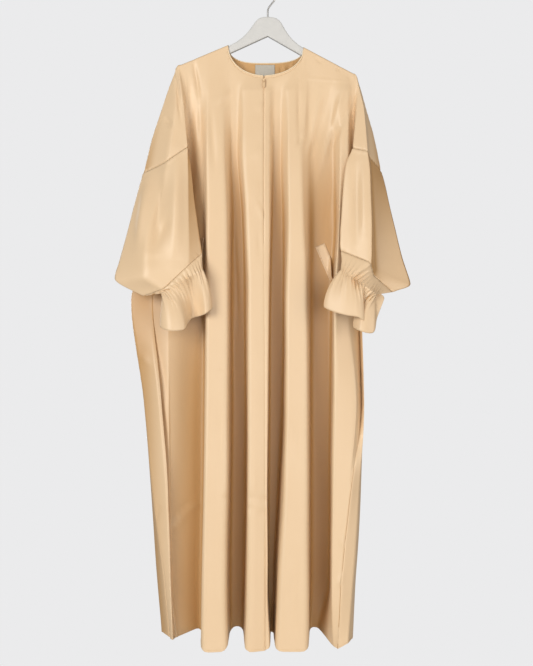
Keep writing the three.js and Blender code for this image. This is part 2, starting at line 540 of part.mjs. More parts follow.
// A closed wall from faces over points: outer is at the points, inner is thickness behind them.
function closedWall(points, pointNormals, faces, thickness) {
  const positions = points.flatMap((point, k) => [...point.toArray(),
    ...point.clone().addScaledVector(pointNormals[k], -thickness).toArray()]);
  const triangles = [];
  const rim = new Map();
  faces.forEach((corners) => {
    const [a, b, c, d] = corners.map((corner) => 2 * corner);
    triangles.push(a, b, c, a, c, d, a + 1, c + 1, b + 1, a + 1, d + 1, c + 1);
    [[a, b], [b, c], [c, d], [d, a]].forEach(([from, to]) => {
      if (rim.has(`${to}_${from}`)) rim.delete(`${to}_${from}`);
      else rim.set(`${from}_${to}`, [from, to]);
    });
  });
  // Both panels at a seam cut their rims along the same diagonal, from the higher outer point.
  rim.forEach(([from, to]) => {
    const fromIsHigher = positions[3 * from + 2] > positions[3 * to + 2];
    if (fromIsHigher) triangles.push(to, from, to + 1, from, from + 1, to + 1);
    else triangles.push(to, from, from + 1, to, from + 1, to + 1);
  });
  const geometry = new THREE.BufferGeometry();
  geometry.setAttribute('position', new THREE.Float32BufferAttribute(positions, 3));
  geometry.setIndex(triangles);
  return geometry;
}

// The sleeve's edge steps clear of the body where the two underarm seams meet.
const underarmShift = { out: 1.5, down: 3 };
const sleeveGap = 0.6;
// The fronts part a little above the zip's slider.
const zipGap = { 0: 2.4, 1: 2.2, 2: 2, 3: 1.3 };
function pulledPoint(panel, key, faces, others) {
  const point = cloth.points.get(key).clone();
  if (!others.has(key)) return point;
  if (underarmKeys.has(key) && panel.startsWith('sleeve')) {
    return point.add(new THREE.Vector3(Math.sign(point.x) * underarmShift.out, 0, -underarmShift.down));
  }
  const pull = new THREE.Vector3();
  const isBelow = ({ corners }) => panel.startsWith('sleeve') || rowOf(corners[0]) >= armholeRow;
  const around = faces.filter(({ corners }) => corners.includes(key));
  around.filter((entry) => !underarmKeys.has(key) || isBelow(entry)).forEach(({ corners }) => {
    const middle = corners.reduce((sum, corner) => sum.add(cloth.points.get(corner)), new THREE.Vector3());
    pull.add(middle.divideScalar(4).sub(point).normalize());
    corners.filter((corner) => !others.has(corner)).forEach((corner) => {
      pull.add(cloth.points.get(corner).clone().sub(point).normalize());
    });
  });
  const [rowIndex, line] = key.split('/');
  const plainGap = panel.startsWith('sleeve') ? sleeveGap : seamGap * 0.6;
  const gap = line === 'join' ? zipGap[rowIndex] ?? seamGap / 2 : plainGap;
  return point.addScaledVector(pull.normalize(), gap);
}
function wall(panel) {
  const faces = cloth.faces.filter((entry) => entry.panel === panel);
  const otherFaces = cloth.faces.filter((entry) => entry.panel !== panel);
  const others = new Set(otherFaces.flatMap((entry) => entry.corners));
  const own = [...new Set(faces.flatMap((entry) => entry.corners))];
  const place = new Map(own.map((key, k) => [key, k]));
  return closedWall(own.map((key) => pulledPoint(panel, key, faces, others)),
    own.map((key) => normalAt(panel, key)),
    faces.map(({ corners }) => corners.map((key) => place.get(key))), clothWall);
}

// ---------------------------------------------------------------- pieces that lie on the panels
// A ray along Y finds a panel's face, so that what is sewn on it follows its folds.
const caster = new THREE.Raycaster();
function depthAt(mesh, x, z, facing) {
  caster.set(new THREE.Vector3(x, facing * 400, z), new THREE.Vector3(0, -facing, 0));
  const hit = caster.intersectObject(mesh)[0];
  return hit ? hit.point.y : undefined;
}
// A flat strip laid on a panel: lengthwise from start to end, facing -1 on its front side.
function laidStrip(mesh, { start, end, width, thick, lift, facing, steps, reach = 5 }) {
  const along = new THREE.Vector2(end[0] - start[0], end[1] - start[1]);
  const across = new THREE.Vector2(-along.y, along.x).normalize();
  const points = [];
  const lanes = Math.max(2, Math.round(width / 6));
  for (let r = 0; r <= steps; r += 1) {
    for (let c = 0; c <= lanes; c += 1) {
      const offset = width * (c / lanes - 0.5);
      const x = start[0] + along.x * (r / steps) + across.x * offset;
      const z = start[1] + along.y * (r / steps) + across.y * offset;
      const near = [[0, 0], [reach, 0], [-reach, 0], [0, reach], [0, -reach]]
        .map(([dx, dz]) => depthAt(mesh, x + dx, z + dz, facing)).filter((depth) => depth !== undefined);
      const front = facing < 0 ? Math.min(...near) : Math.max(...near);
      points.push(new THREE.Vector3(x, front + facing * (lift + thick), z));
    }
  }
  const faces = [];
  for (let r = 0; r < steps; r += 1) {
    for (let c = 0; c < lanes; c += 1) {
      const a = r * (lanes + 1) + c;
      faces.push([a, a + 1, a + lanes + 2, a + lanes + 1]);
    }
  }
  const turn = new THREE.Vector3().crossVectors(points[1].clone().sub(points[0]),
    points[lanes + 1].clone().sub(points[0]));
  const isTurned = turn.y * facing > 0;
  const facesOut = isTurned ? faces : faces.map((corners) => [...corners].reverse());
  return closedWall(points, points.map(() => new THREE.Vector3(0, facing, 0)), facesOut, thick);
}

// The zip's tapes: the join and a finger's width beside it, behind the wall of the fronts.
const zip = { bottom: 625, leftWidth: 11, rightWidth: 7, thick: 1, gap: 0.4 };
function zipTape() {
  const picked = rows.map((_, r) => r)
    .filter((r) => r >= 3 && -cloth.points.get(`${r}/join/0`).z < zip.bottom);
  const points = [];
  const tapeNormals = [];
  picked.forEach((r) => {
    const middle = cloth.points.get(`${r}/join/0`);
    const middleNormal = sharedNormals.get(`${r}/join/0`);
    const lay = (key, width) => {
      const neighbour = cloth.points.get(key);
      const share = Math.min(1, width / neighbour.distanceTo(middle));
      const normal = middleNormal.clone().lerp(sharedNormals.get(key), share);
      points.push(middle.clone().lerp(neighbour, share).addScaledVector(normal, -clothWall - zip.gap));
      tapeNormals.push(normal);
    };
    lay(`${r}/rollRight/1`, zip.rightWidth);
    lay(`${r}/join/0`, 0.001);
    lay(`${r}/rollLeft/0`, zip.leftWidth);
  });
  const faces = [];
  for (let r = 0; r + 1 < picked.length; r += 1) {
    [0, 1].forEach((c) => faces.push([3 * r + c, 3 * r + c + 1, 3 * r + c + 4, 3 * r + c + 3]));
  }
  return closedWall(points, tapeNormals, faces, zip.thick);
}

// ---------------------------------------------------------------- hanger and hook
function toSolid(geometry) {
  const plain = geometry.clone();
  plain.deleteAttribute('normal');
  plain.deleteAttribute('uv');
  const merged = mergeVertices(plain, 1e-4);
  return new wasm.Manifold(new wasm.Mesh({ numProp: 3,
    vertProperties: new Float32Array(merged.attributes.position.array),
    triVerts: new Uint32Array(merged.index.array) }));
}
function toGeometry(solid) {
  const { vertProperties, triVerts, numProp } = solid.getMesh();
  const geometry = new THREE.BufferGeometry();
  const positions = [];
  for (let k = 0; k < vertProperties.length; k += numProp) positions.push(...vertProperties.slice(k, k + 3));
  geometry.setAttribute('position', new THREE.Float32BufferAttribute(positions, 3));
  geometry.setIndex([...triVerts]);
  return geometry;
}
const box = (width, depth, height, x, y, z) => new THREE.BoxGeometry(width, depth, height).translate(x, y, z);

function hangerSolid() {
  const { top, apex, armStart, armRoot, armHeight, halfLength, slope, thick, edge, tilt, tiltCentre,
    tipInset, tipDrop, neckWaist, neckCurve } = hanger;
  const armEnd = -armRoot - slope * (halfLength - armStart);
  const [high, upper, lower, low] = neckCurve;
  const outline = new THREE.Shape();
  outline.moveTo(0, -apex);
  outline.lineTo(armStart, -armRoot - armHeight);
  outline.lineTo(halfLength - 6, armEnd - armHeight + 4);
  outline.quadraticCurveTo(halfLength, armEnd - armHeight + 5, halfLength, armEnd - armHeight / 2);
  outline.quadraticCurveTo(halfLength, armEnd, halfLength - tipInset, armEnd + tipDrop);
  outline.lineTo(armStart, -armRoot);
  outline.bezierCurveTo(low[0], -low[1], lower[0], -lower[1], neckWaist[0], -neckWaist[1]);
  outline.bezierCurveTo(upper[0], -upper[1], high[0], -high[1], 0, -top);
  outline.bezierCurveTo(-high[0], -high[1], -upper[0], -upper[1], -neckWaist[0], -neckWaist[1]);
  outline.bezierCurveTo(-lower[0], -lower[1], -low[0], -low[1], -armStart, -armRoot);
  outline.lineTo(-halfLength + tipInset, armEnd + tipDrop);
  outline.quadraticCurveTo(-halfLength, armEnd, -halfLength, armEnd - armHeight / 2);
  outline.quadraticCurveTo(-halfLength, armEnd - armHeight + 5, -halfLength + 6, armEnd - armHeight + 4);
  outline.lineTo(-armStart, -armRoot - armHeight);
  outline.closePath();
  const body = new THREE.ExtrudeGeometry(outline, { depth: thick - 2 * edge, curveSegments: 5,
    bevelThickness: edge, bevelSize: edge, bevelOffset: -edge, bevelSegments: 2 });
  body.translate(0, 0, edge - thick / 2).rotateX(Math.PI / 2);
  body.translate(0, 0, tiltCentre).rotateY(tilt).translate(0, 0, -tiltCentre);
  const boreRadius = hook.wire / 2 + hook.boreClearance;
  const boreLength = 40;
  const bore = new THREE.CylinderGeometry(boreRadius, boreRadius, boreLength, 16).rotateX(Math.PI / 2);
  bore.translate(0, 0, -hook.shankEnd + boreLength / 2 - 0.5);
  return toGeometry(toSolid(body).subtract(toSolid(bore)));
}

// The hook's wire: up out of the hanger, a kink to the right, then round over the rail to an open end.
function hookSolid() {
  const radius = hook.innerRadius + hook.wire / 2;
  const centre = new THREE.Vector3(0, 0, -hook.innerRadius);
  const onCircle = (degrees) => {
    const angle = THREE.MathUtils.degToRad(degrees);
    return centre.clone().add(new THREE.Vector3(radius * Math.cos(angle), 0, radius * Math.sin(angle)));
  };
  const { joinAngle, endAngle } = hook;
  const kink = new THREE.Vector3(0, 0, -hook.bend);
  const start = new THREE.Vector3(0, 0, -hook.shankEnd);
  const path = new THREE.CurvePath();
  const before = new THREE.Vector3(0, 0, -hook.bend - hook.bendRadius);
  const after = kink.clone().lerp(onCircle(joinAngle), 0.16);
  path.add(new THREE.LineCurve3(start, before));
  path.add(new THREE.QuadraticBezierCurve3(before, kink, after));
  const arcPoints = Array.from({ length: 25 }, (_, k) => onCircle(mix(joinAngle + 10, endAngle, k / 24)));
  path.add(new THREE.CatmullRomCurve3([after, kink.clone().lerp(onCircle(joinAngle), 0.7), ...arcPoints]));
  const section = new THREE.Shape();
  section.absarc(0, 0, hook.wire / 2, 0, 2 * Math.PI);
  return new THREE.ExtrudeGeometry(section, { steps: 44, curveSegments: 5, extrudePath: path });
}

// ---------------------------------------------------------------- zip slider and its pull
const slider = { drop: 231, width: 5, height: 9, thick: 2, bridgeWidth: 1.5, bridgeInner: 2.6, bridgeBar: 1.1,
  postGap: 3.4, bridgeLength: 7.9 };
const pull = { axisGap: 1.3, eyeWidth: 2.7, eyeEnd: 4.6, bar: 0.6, halfTop: 2.1, halfEye: 2.3, bulge: 2.8,
  bulgeStart: 11, length: 18, thick: 1.2, lean: 0.12 };

// Pieces sewn on the panels, in mm: the middle line from start to end as x and z.
const welt = { width: 24, thick: 1.4, left: { start: [-147, -610], end: [-186, -724], lift: 0.5, steps: 14 },
  right: { start: [125, -622], end: [160, -704], lift: 1, steps: 20 } };
const label = { start: [-6.6, -187], end: [-6.6, -222], width: 47, thick: 1, lift: 0.5, steps: 4 };

// ---------------------------------------------------------------- the model
const finish = (color, roughness, metalness = 0) => new THREE.MeshStandardMaterial(
  { color, roughness, metalness });
const satin = finish('#e3be8c', 0.45);
const model = new THREE.Group();
const add = (name, geometry, material) => {
  const mesh = new THREE.Mesh(geometry, material);
  mesh.name = name;
  model.add(mesh);
  return mesh;
};
const panels = {};
['front_left', 'front_right', 'back', 'sleeve_left', 'sleeve_right', 'cuff_left', 'cuff_right']
  .forEach((panel) => { panels[panel] = add(panel, wall(panel), satin); });
add('zip_tape', zipTape(), finish('#b58f63', 0.8));
add('pocket_welt_left', laidStrip(panels.front_left, { ...welt, ...welt.left, facing: -1 }), satin);
add('pocket_welt_right', laidStrip(panels.front_right, { ...welt, ...welt.right, facing: -1 }), satin);
add('label', laidStrip(panels.back, { ...label, facing: -1 }), finish('#c9c8c5', 0.6));
add('hanger', hangerSolid(), finish('#e2e0dc', 0.5));
add('hook', hookSolid(), finish('#b9bbbd', 0.25, 1));

// The slider stands just in front of the fronts, and the pull hangs from its bridge.
const clothFace = Math.min(...[-5, 0, 5].flatMap((dx) => [-4, 0, 4].flatMap((dz) => [panels.front_left,
  panels.front_right].map((panel) => depthAt(panel, centreFront + dx, -slider.drop + dz, -1) ?? 0))));
const sliderBack = clothFace - 0.4;
const sliderFace = sliderBack - slider.thick;
const bridgeReach = slider.bridgeInner + slider.bridgeBar;
const sliderParts = [
  box(slider.width, slider.thick, slider.height, 0, sliderBack - slider.thick / 2, 0),
  ...[1, -1].map((side) => box(slider.bridgeWidth, bridgeReach + 0.5, slider.bridgeBar, 0,
    sliderFace - bridgeReach / 2 + 0.25, side * slider.postGap)),
  box(slider.bridgeWidth, slider.bridgeBar, slider.bridgeLength, 0,
    sliderFace - slider.bridgeInner - slider.bridgeBar / 2, 0),
].map(toSolid).reduce((whole, part) => whole.add(part));
const metal = finish('#dcb887', 0.4, 0.3);
const sliderMesh = add('zip_slider', toGeometry(sliderParts), metal);
sliderMesh.position.set(centreFront, 0, -slider.drop);

const tab = new THREE.Shape();
tab.moveTo(-pull.halfTop, pull.bar);
tab.lineTo(pull.halfTop, pull.bar);
tab.lineTo(pull.halfEye, -pull.eyeEnd);
tab.bezierCurveTo(pull.bulge, -pull.bulgeStart, pull.bulge, -pull.length, 0, -pull.length);
tab.bezierCurveTo(-pull.bulge, -pull.length, -pull.bulge, -pull.bulgeStart, -pull.halfEye, -pull.eyeEnd);
tab.closePath();
const plate = new THREE.ExtrudeGeometry(tab, { depth: pull.thick, bevelEnabled: false, curveSegments: 8 });
plate.translate(0, 0, -pull.thick / 2);
const eye = box(pull.eyeWidth, pull.eyeEnd - pull.bar, 3, 0, -(pull.eyeEnd + pull.bar) / 2, 0);
const pullGeometry = toGeometry(toSolid(plate).subtract(toSolid(eye)));
pullGeometry.rotateX(Math.PI / 2 - pull.lean);
const pullMesh = add('zip_pull', pullGeometry, metal);
pullMesh.position.set(centreFront, sliderFace - pull.axisGap, -slider.drop);

export default model;
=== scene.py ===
# An abaya in champagne satin on a clothes hanger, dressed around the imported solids.
# The scene is in metres. Cloth is worked out in millimetres: x to the right, y to the back, and heights
# as a drop below the origin, which is the inside top of the hook. The front faces -y, and left and right
# are as seen from there.
import math
from collections import namedtuple

import bmesh
import bpy
import numpy as np
from mathutils import Matrix, Vector, noise
from mathutils.bvhtree import BVHTree
from mathutils.kdtree import KDTree


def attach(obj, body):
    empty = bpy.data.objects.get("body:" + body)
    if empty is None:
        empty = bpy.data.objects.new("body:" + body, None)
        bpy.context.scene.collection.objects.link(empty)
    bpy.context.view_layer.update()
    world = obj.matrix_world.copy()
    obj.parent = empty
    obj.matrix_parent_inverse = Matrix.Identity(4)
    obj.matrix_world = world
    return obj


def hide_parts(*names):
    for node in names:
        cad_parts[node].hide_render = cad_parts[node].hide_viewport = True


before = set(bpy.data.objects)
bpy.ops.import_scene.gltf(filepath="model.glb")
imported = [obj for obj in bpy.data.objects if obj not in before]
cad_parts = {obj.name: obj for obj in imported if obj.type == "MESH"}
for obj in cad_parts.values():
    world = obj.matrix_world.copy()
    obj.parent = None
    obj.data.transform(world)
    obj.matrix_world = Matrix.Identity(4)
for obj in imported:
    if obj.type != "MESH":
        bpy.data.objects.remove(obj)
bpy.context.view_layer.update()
scene = bpy.context.scene
MM = 0.001

# ---------------------------------------------------------------- camera
# Level with the waist, in front of the middle of the garment, upright frame.
camera_distance = 2.3
camera_aim = Vector((-0.0029, 0, -0.8329))
frame_height = 1.5984
sensor = 36

camera_data = bpy.data.cameras.new("camera")
camera_data.sensor_width = sensor
camera_data.lens = sensor * camera_distance / frame_height
camera = bpy.data.objects.new("camera", camera_data)
camera.location = camera_aim + Vector((0, -camera_distance, 0))
camera.rotation_euler = (math.pi / 2, 0, 0)
scene.collection.objects.link(camera)
scene.camera = camera

# ---------------------------------------------------------------- the cloth's form
# A loose straight cut in satin: two fronts sewn together down the middle and a back, sewn at the sides
# and shoulders, which hangs from the hanger in deep vertical folds. Each fold line has its place at nine
# levels, and out is 0 in a hollow and 1 on a ridge.
neck_left = -95
neck_right = 86
centre_front = -9
front_neck_drop = 219
back_neck_drop = 184
neck_turn = 6
neck_row_share = 0.6
arch_span = 5
crest_half_gap = 0.2
hanger = {"arm_start": 92, "arm_root": 149, "slope": 0.475, "tilt": 0.045, "tilt_centre": 120}
crest_lift = 2.8

levels = tuple(range(9))
level_drop = (0, 254, 397, 563, 755, 990, 1203, 1415, 1538)
hem_level = levels[-1]
hem_sag = 25
hem_rounding = 10
front_ridge = (12, 20, 36, 50, 62, 75, 88, 98, 106)
front_hollow = (10, 9, 7, 4, 2, 0, -2, -4, -6)
back_ridge = (10, 20, 32, 44, 56, 68, 78, 86, 92)
back_hollow = (9, 14, 20, 24, 26, 28, 30, 30, 30)
armhole_level = 2

Fold = namedtuple("Fold", "line x out y", defaults=(None, None))
join = Fold("join", (-9, -9, -9, -9, -8, -6, -6, -6, -6),
            (0.6, 0.9, 0.9, 0.9, 0.95, 0.95, 0.95, 0.95, 0.95))
left_folds = (
    Fold("roll_left", (-40, -57, -59, -51, -46, -46, -46, -48, -52),
         (0.5, 1, 1, 1, 1.05, 1.05, 1.05, 1.05, 1.05)),
    Fold("hollow_b", (-61, -69, -71, -59, -54, -52, -52, -56, -59), (0.5, 0.2, 0.05, 0, 0, 0, 0, 0, 0)),
    Fold("hollow_b_left", (-81, -88, -88, -83, -86, -86, -88, -91, -91),
         (0.5, 0.1, 0, 0, 0, 0, 0, 0, 0)),
    Fold("ridge_a", (-95, -107, -104, -96, -93, -92, -93, -95, -91), (0, 0.7, 0.9, 1, 1, 1, 1, 1, 1)),
    Fold("ridge_a_left", (-124, -140, -144, -143, -144, -146, -149, -152, -152),
         (0, 0.9, 1, 1, 1.05, 1.05, 1.05, 1.05, 1.05)),
    Fold("hollow_a", (-147, -155, -155, -152, -150, -152, -154, -158, -159),
         (0, 0.4, 0.4, 0.35, 0.12, 0, 0, 0, 0)),
    Fold("hollow_a_left", (-169, -169, -169, -177, -220, -230, -230, -225, -209),
         (0, 0.1, 0.1, 0.15, 0.3, 0.45, 0.45, 0.45, 0.4)),
    Fold("small_ridge", (-186, -181, -182, -189, -236, -234, -231, -227, -213),
         (0, -0.2, -0.25, -0.05, 0.3, 0.5, 0.5, 0.5, 0.45)),
    Fold("tuck", (-195, -188, -190, -201, -277, -265, -243, -232, -217),
         (0, -0.3, -0.3, -0.1, 0.12, 0.3, 0.45, 0.5, 0.45)),
    Fold("strip_edge", (-202, -193, -196, -208, -274, -249, -232, -226, -222),
         (0, -0.1, -0.1, -0.1, 0.1, 0.6, 0.65, 0.65, 0.6)),
    Fold("side_left", (-207, -196, -200, -217, -327, -296, -274, -243, -231),
         (0, 0, -0.08, -0.05, 0, 0.2, 0.35, 0.5, 0.45)),
)
right_folds = (
    Fold("roll_right", (5, 4, 5, 5, 3, 0, -1, -1, 5), (0.55, 0.8, 0.7, 0.8, 0.9, 0.95, 0.95, 1, 1)),
    Fold("hollow_c", (27, 15, 13, 10, 5, 3, 1, 1, 7), (0.5, 0.2, 0.05, 0, 0, 0, 0, 0, 0)),
    Fold("hollow_c_right", (48, 32, 32, 37, 39, 37, 27, 15, 14), (0.5, 0, 0, 0, 0, 0, 0, 0, 0.1)),
    Fold("ridge_c", (68, 48, 48, 48, 43, 42, 36, 24, 17), (0.5, 0.9, 1, 1, 1, 1, 1, 1, 1)),
    Fold("ridge_c_right", (86, 77, 79, 83, 92, 93, 93, 94, 93), (0, 0.8, 0.9, 1, 1, 1, 1, 1, 1)),
    Fold("hollow_d", (106, 99, 104, 106, 104, 104, 104, 102, 101), (0, 0.15, 0.05, 0, 0, 0, 0, 0, 0)),
    Fold("hollow_d_right", (149, 151, 158, 161, 153, 151, 150, 149, 121),
         (0, 0.1, 0, 0, 0, 0, 0, 0, 0.05)),
    Fold("ridge_d", (168, 172, 171, 167, 156, 152, 148, 146, 151), (0, 0.9, 1, 1, 1, 1, 1, 1, 0.8)),
    Fold("ridge_d_right", (187, 191, 191, 187, 188, 207, 185, 164, 156),
         (0, 0.9, 1, 0.6, 0.6, 0.9, 1, 1, 0.85)),
    Fold("turn_right", (197, 201, 200, 202, 203, 217, 189, 166, 158),
         (0, 0.3, 0.1, 0.1, 0.3, 0.6, 1, 1, 0.87)),
    Fold("side_right", (205, 208, 206, 219, 218, 221, 191, 168, 160),
         (0, 0.1, 0.1, -0.05, 0.1, 0.5, 1, 1, 0.9)),
)
on_back_ridge = (0, 0.8, 1, 1, 1, 1, 1, 1, 1)
below_neck_ridge = (0.5, 0.8, 1, 1, 1, 1, 1, 1, 1)
below_neck_hollow = (0.5, 0.2, 0, 0, 0, 0, 0, 0, 0)
in_back_hollow = (0,) * 9
back_folds = (
    Fold("flank_left", (-203, -197, -192, -214, -329, -299, -281, -265, -254),
         y=(9, 16, 24, 10, 6, 4, 2, -6, -4)),
    Fold("back_side_left", (-190, -186, -182, -204, -314, -290, -276, -263, -255),
         y=(9, 17, 25, 26, 24, 24, 26, 28, 30)),
    Fold("ridge_e", (-172, -170, -170, -188, -268, -256, -246, -240, -234), on_back_ridge),
    Fold("ridge_e_left", (-150, -146, -146, -158, -206, -202, -198, -194, -190), on_back_ridge),
    Fold("hollow_e", (-134, -130, -130, -136, -168, -168, -166, -166, -166), in_back_hollow),
    Fold("hollow_e_right", (-118, -116, -116, -120, -144, -148, -150, -152, -152), in_back_hollow),
    Fold("ridge_f", (-95, -98, -98, -100, -116, -122, -126, -128, -128), on_back_ridge),
    Fold("ridge_f_right", (-62, -66, -64, -64, -72, -78, -82, -84, -84), below_neck_ridge),
    Fold("hollow_f", (-48, -50, -48, -46, -50, -56, -60, -62, -62), below_neck_hollow),
    Fold("hollow_f_right", (-32, -34, -32, -30, -32, -38, -42, -44, -44), below_neck_hollow),
    Fold("ridge_g", (-16, -18, -16, -12, -8, -12, -16, -18, -20), below_neck_ridge),
    Fold("ridge_g_right", (16, 14, 16, 18, 26, 30, 32, 32, 30), below_neck_ridge),
    Fold("hollow_g", (32, 30, 32, 34, 44, 50, 52, 52, 50), below_neck_hollow),
    Fold("hollow_g_right", (46, 44, 46, 50, 60, 66, 68, 68, 66), below_neck_hollow),
    Fold("ridge_h", (62, 64, 64, 70, 80, 86, 88, 88, 86), below_neck_ridge),
    Fold("ridge_h_right", (86, 94, 96, 104, 114, 120, 122, 120, 116), on_back_ridge),
    Fold("hollow_h", (118, 114, 116, 122, 132, 138, 138, 134, 130), in_back_hollow),
    Fold("hollow_h_right", (138, 132, 132, 138, 148, 154, 154, 148, 142), in_back_hollow),
    Fold("ridge_i", (158, 154, 152, 158, 168, 174, 174, 166, 158), on_back_ridge),
    Fold("ridge_i_right", (178, 178, 174, 184, 196, 202, 200, 190, 184),
         (0, 0.8, 1, 1, 1, 0.9, 0.8, 0.7, 0.6)),
    Fold("flank_right", (192, 195, 190, 210, 222, 225, 220, 206, 201),
         y=(9, 17, 24, 18, 4, -30, -45, -50, -50)),
    Fold("wrap_right", (201, 203, 197, 218, 223, 226, 213, 197, 185),
         y=(9, 17, 25, 4, -12, -54, -72, -84, -92)),
)

# Shoulder caps, from the fold beside the body out to the edge and round to the back, each at five
# stations down to the armhole seam. Above the first level they rise to the crest at their own pace.
Cap = namedtuple("Cap", "line x drop y")
cap_levels = (0, 1, 1.33, 1.67, 2)
cap_rise_levels = (0, 0.35, 0.7, 1)
cap_rise_stations = (0.1, 0.4, 0.72, 1)
left_cap = (
    Cap("inner", (-214, -202, -196, -192, -190), (190, 254, 303, 352, 393), (-8.5, -15, -24, -31, -36)),
    Cap("fold", (-217, -204, -198, -193, -189), (193, 254, 304, 353, 395), (-8, -18, -28, -36, -42)),
    Cap("front", (-221, -218, -220, -228, -237), (199, 254, 305, 366, 428), (-6, -18, -30, -38, -46)),
    Cap("edge", (-223, -240, -257, -278, -299), (206, 250, 302, 365, 450), (0, 0, 0, 0, 0)),
    Cap("rear", (-221, -219, -224, -238, -257), (199, 252, 304, 362, 418), (6, 16, 24, 28, 28)),
    Cap("rear_inner", (-214, -207, -202, -198, -196), (190, 254, 303, 350, 386), (8.5, 16, 22, 26, 28)),
)
right_cap = (
    Cap("inner", (208, 214, 210, 205, 199), (211, 253, 296, 342, 398), (-8.5, -12, -24, -36, -48)),
    Cap("fold", (211, 219, 229, 232, 234), (214, 254, 303, 353, 407), (-8, -16, -32, -46, -60)),
    Cap("front", (214, 222, 231, 238, 243), (219, 257, 307, 358, 419), (-6, -10, -18, -26, -34)),
    Cap("edge", (216, 225, 239, 255, 273), (226, 252, 302, 358, 444), (0, 0, 0, 0, 0)),
    Cap("rear", (214, 219, 222, 228, 234), (219, 255, 305, 360, 420), (6, 12, 20, 24, 26)),
    Cap("rear_inner", (208, 211, 208, 204, 201), (211, 254, 300, 345, 389), (8.5, 14, 20, 24, 27)),
)


def mix(start, end, share):
    return start + (end - start) * share


def clamp(value, low=0.0, high=1.0):
    return min(high, max(low, value))


def through(stations, values, at):
    """A smooth curve through values given at stations, which never overshoots them."""
    last = len(stations) - 1
    left = 0
    while left < last - 1 and at > stations[left + 1]:
        left += 1

    def slope(k):
        return (values[k + 1] - values[k]) / (stations[k + 1] - stations[k])

    def tangent(k):
        if k == 0:
            return slope(0)
        if k == last:
            return slope(last - 1)
        before, after = slope(k - 1), slope(k)
        return 0 if before * after <= 0 else 2 * before * after / (before + after)

    step = stations[left + 1] - stations[left]
    u = (at - stations[left]) / step
    bend = u * u * (3 - 2 * u)
    lean = tangent(left) * u * (1 - u) ** 2 - tangent(left + 1) * u * u * (1 - u)
    return mix(values[left], values[left + 1], bend) + step * lean


def crest(x):
    """The drop of the shoulder edge, which lies on the hanger's arm."""
    centre, tilt = hanger["tilt_centre"], hanger["tilt"]

    def level(place):
        return hanger["arm_root"] + hanger["slope"] * (abs(place) - hanger["arm_start"])

    own = x + (level(x) - centre) * tilt
    return centre + (level(own) - centre) * math.cos(tilt) + own * math.sin(tilt) - crest_lift


def neckline(x, lowest, roundness):
    """The drop of the neck edge at x: half an ellipse from each neck point to the middle."""
    edge = neck_left if x < centre_front else neck_right
    start = crest(edge) + neck_turn
    across = clamp(abs((x - centre_front) / (edge - centre_front)))
    return start + (lowest - start) * math.sqrt(1 - across ** roundness)


def arch(below):
    """How far the cloth has turned over the shoulder edge, from 0 to 1."""
    return math.sqrt(1 - (1 - clamp(below / arch_span)) ** 2)


def body_point(x, depth, out, level, below, facing):
    """A point of the body's cloth; below is how far it is down over the shoulder or neck edge."""
    is_inside = neck_left + 0.01 < x < neck_right - 0.01
    over = neck_turn if is_inside else 0
    lowest, roundness = (front_neck_drop, 2) if facing < 0 else (back_neck_drop, 3)
    top = neckline(x, lowest, roundness) if is_inside else crest(x)
    start = top + below * (neck_row_share if is_inside else 1)
    if level < 1:
        drop = mix(start, level_drop[1], level)
        depth = mix(facing * crest_half_gap, depth, arch(over + below))
    else:
        drop = through(levels[1:], level_drop[1:], level)
    if level > hem_level - 1:
        drop += hem_sag * clamp(out) * (level - hem_level + 1)
    return x, depth, -drop


on_flank = 0.4


def fold_control(fold, level, facing):
    """Where a fold line is at a level: x, depth and out."""
    ridge = through(levels, front_ridge if facing < 0 else back_ridge, level)
    hollow = through(levels, front_hollow if facing < 0 else back_hollow, level)
    out = on_flank if fold.out is None else through(levels, fold.out, level)
    depth = facing * mix(hollow, ridge, out) if fold.y is None else through(levels, fold.y, level)
    return through(levels, fold.x, level), depth, out


def cap_control(cap, level, below):
    """Where a line of the shoulder cap is at a level."""
    if level > 0:
        station = level if level >= 1 else np.interp(level, cap_rise_levels, cap_rise_stations)
    else:
        station = cap_rise_stations[0] * below / arch_span
    share = 1 if level > 0 else arch(below)
    depth = through(cap_levels, cap.y, station)
    depth = mix(math.copysign(crest_half_gap, depth) if depth else 0, depth, share)
    return through(cap_levels, cap.x, station), depth, -through(cap_levels, cap.drop, station)


def straight_weights(u, last):
    """The share that each fold line has in a straight run between them, u lines from the first."""
    weights = np.zeros(last + 1)
    k = min(int(u), last - 1)
    weights[k], weights[k + 1] = 1 - (u - k), u - k
    return weights


def round_weights(u, last, cut):
    """The share that each fold line has in a curve that cuts the corners at the lines."""
    weights = straight_weights(u, last)
    middle = round(u)
    if last == 1 or middle in (0, last) or abs(u - middle) >= cut:
        return weights
    t = (u - middle + cut) / (2 * cut)
    weights[:] = 0
    weights[middle - 1] = cut * (1 - t) ** 2
    weights[middle] = 1 - cut * ((1 - t) ** 2 + t * t)
    weights[middle + 1] = cut * t * t
    return weights


Stretch = namedtuple("Stretch", "places straight crisp soft")
soft_cut = 0.5
crisp_cut = 0.14
full_rounding_level = 0.7
crisp_from_level = 0.6
crisp_levels = 1.2


def stretch(lines, samples, fine_start=False, fine_end=False):
    """The columns of cloth between two sharp lines, closer together where the seams need it."""
    last = lines - 1
    places = []
    for k in range(last):
        for n in range(samples):
            t = n / samples
            if k == 0 and fine_start:
                t = t ** 2
            if k == last - 1 and fine_end:
                t = 1 - (1 - t) ** 2
            places.append(k + t)
    places.append(last)
    return Stretch(places, np.array([straight_weights(u, last) for u in places]),
                   np.array([round_weights(u, last, crisp_cut) for u in places]),
                   np.array([round_weights(u, last, soft_cut) for u in places]))


def rounded(part, controls, level=2.0):
    """The columns at a level: straight at the shoulder, soft at the chest and crisp below."""
    weights = mix(part.straight, part.soft, clamp(level / full_rounding_level))
    weights = mix(weights, part.crisp, clamp((level - crisp_from_level) / crisp_levels))
    return weights @ np.array(controls)


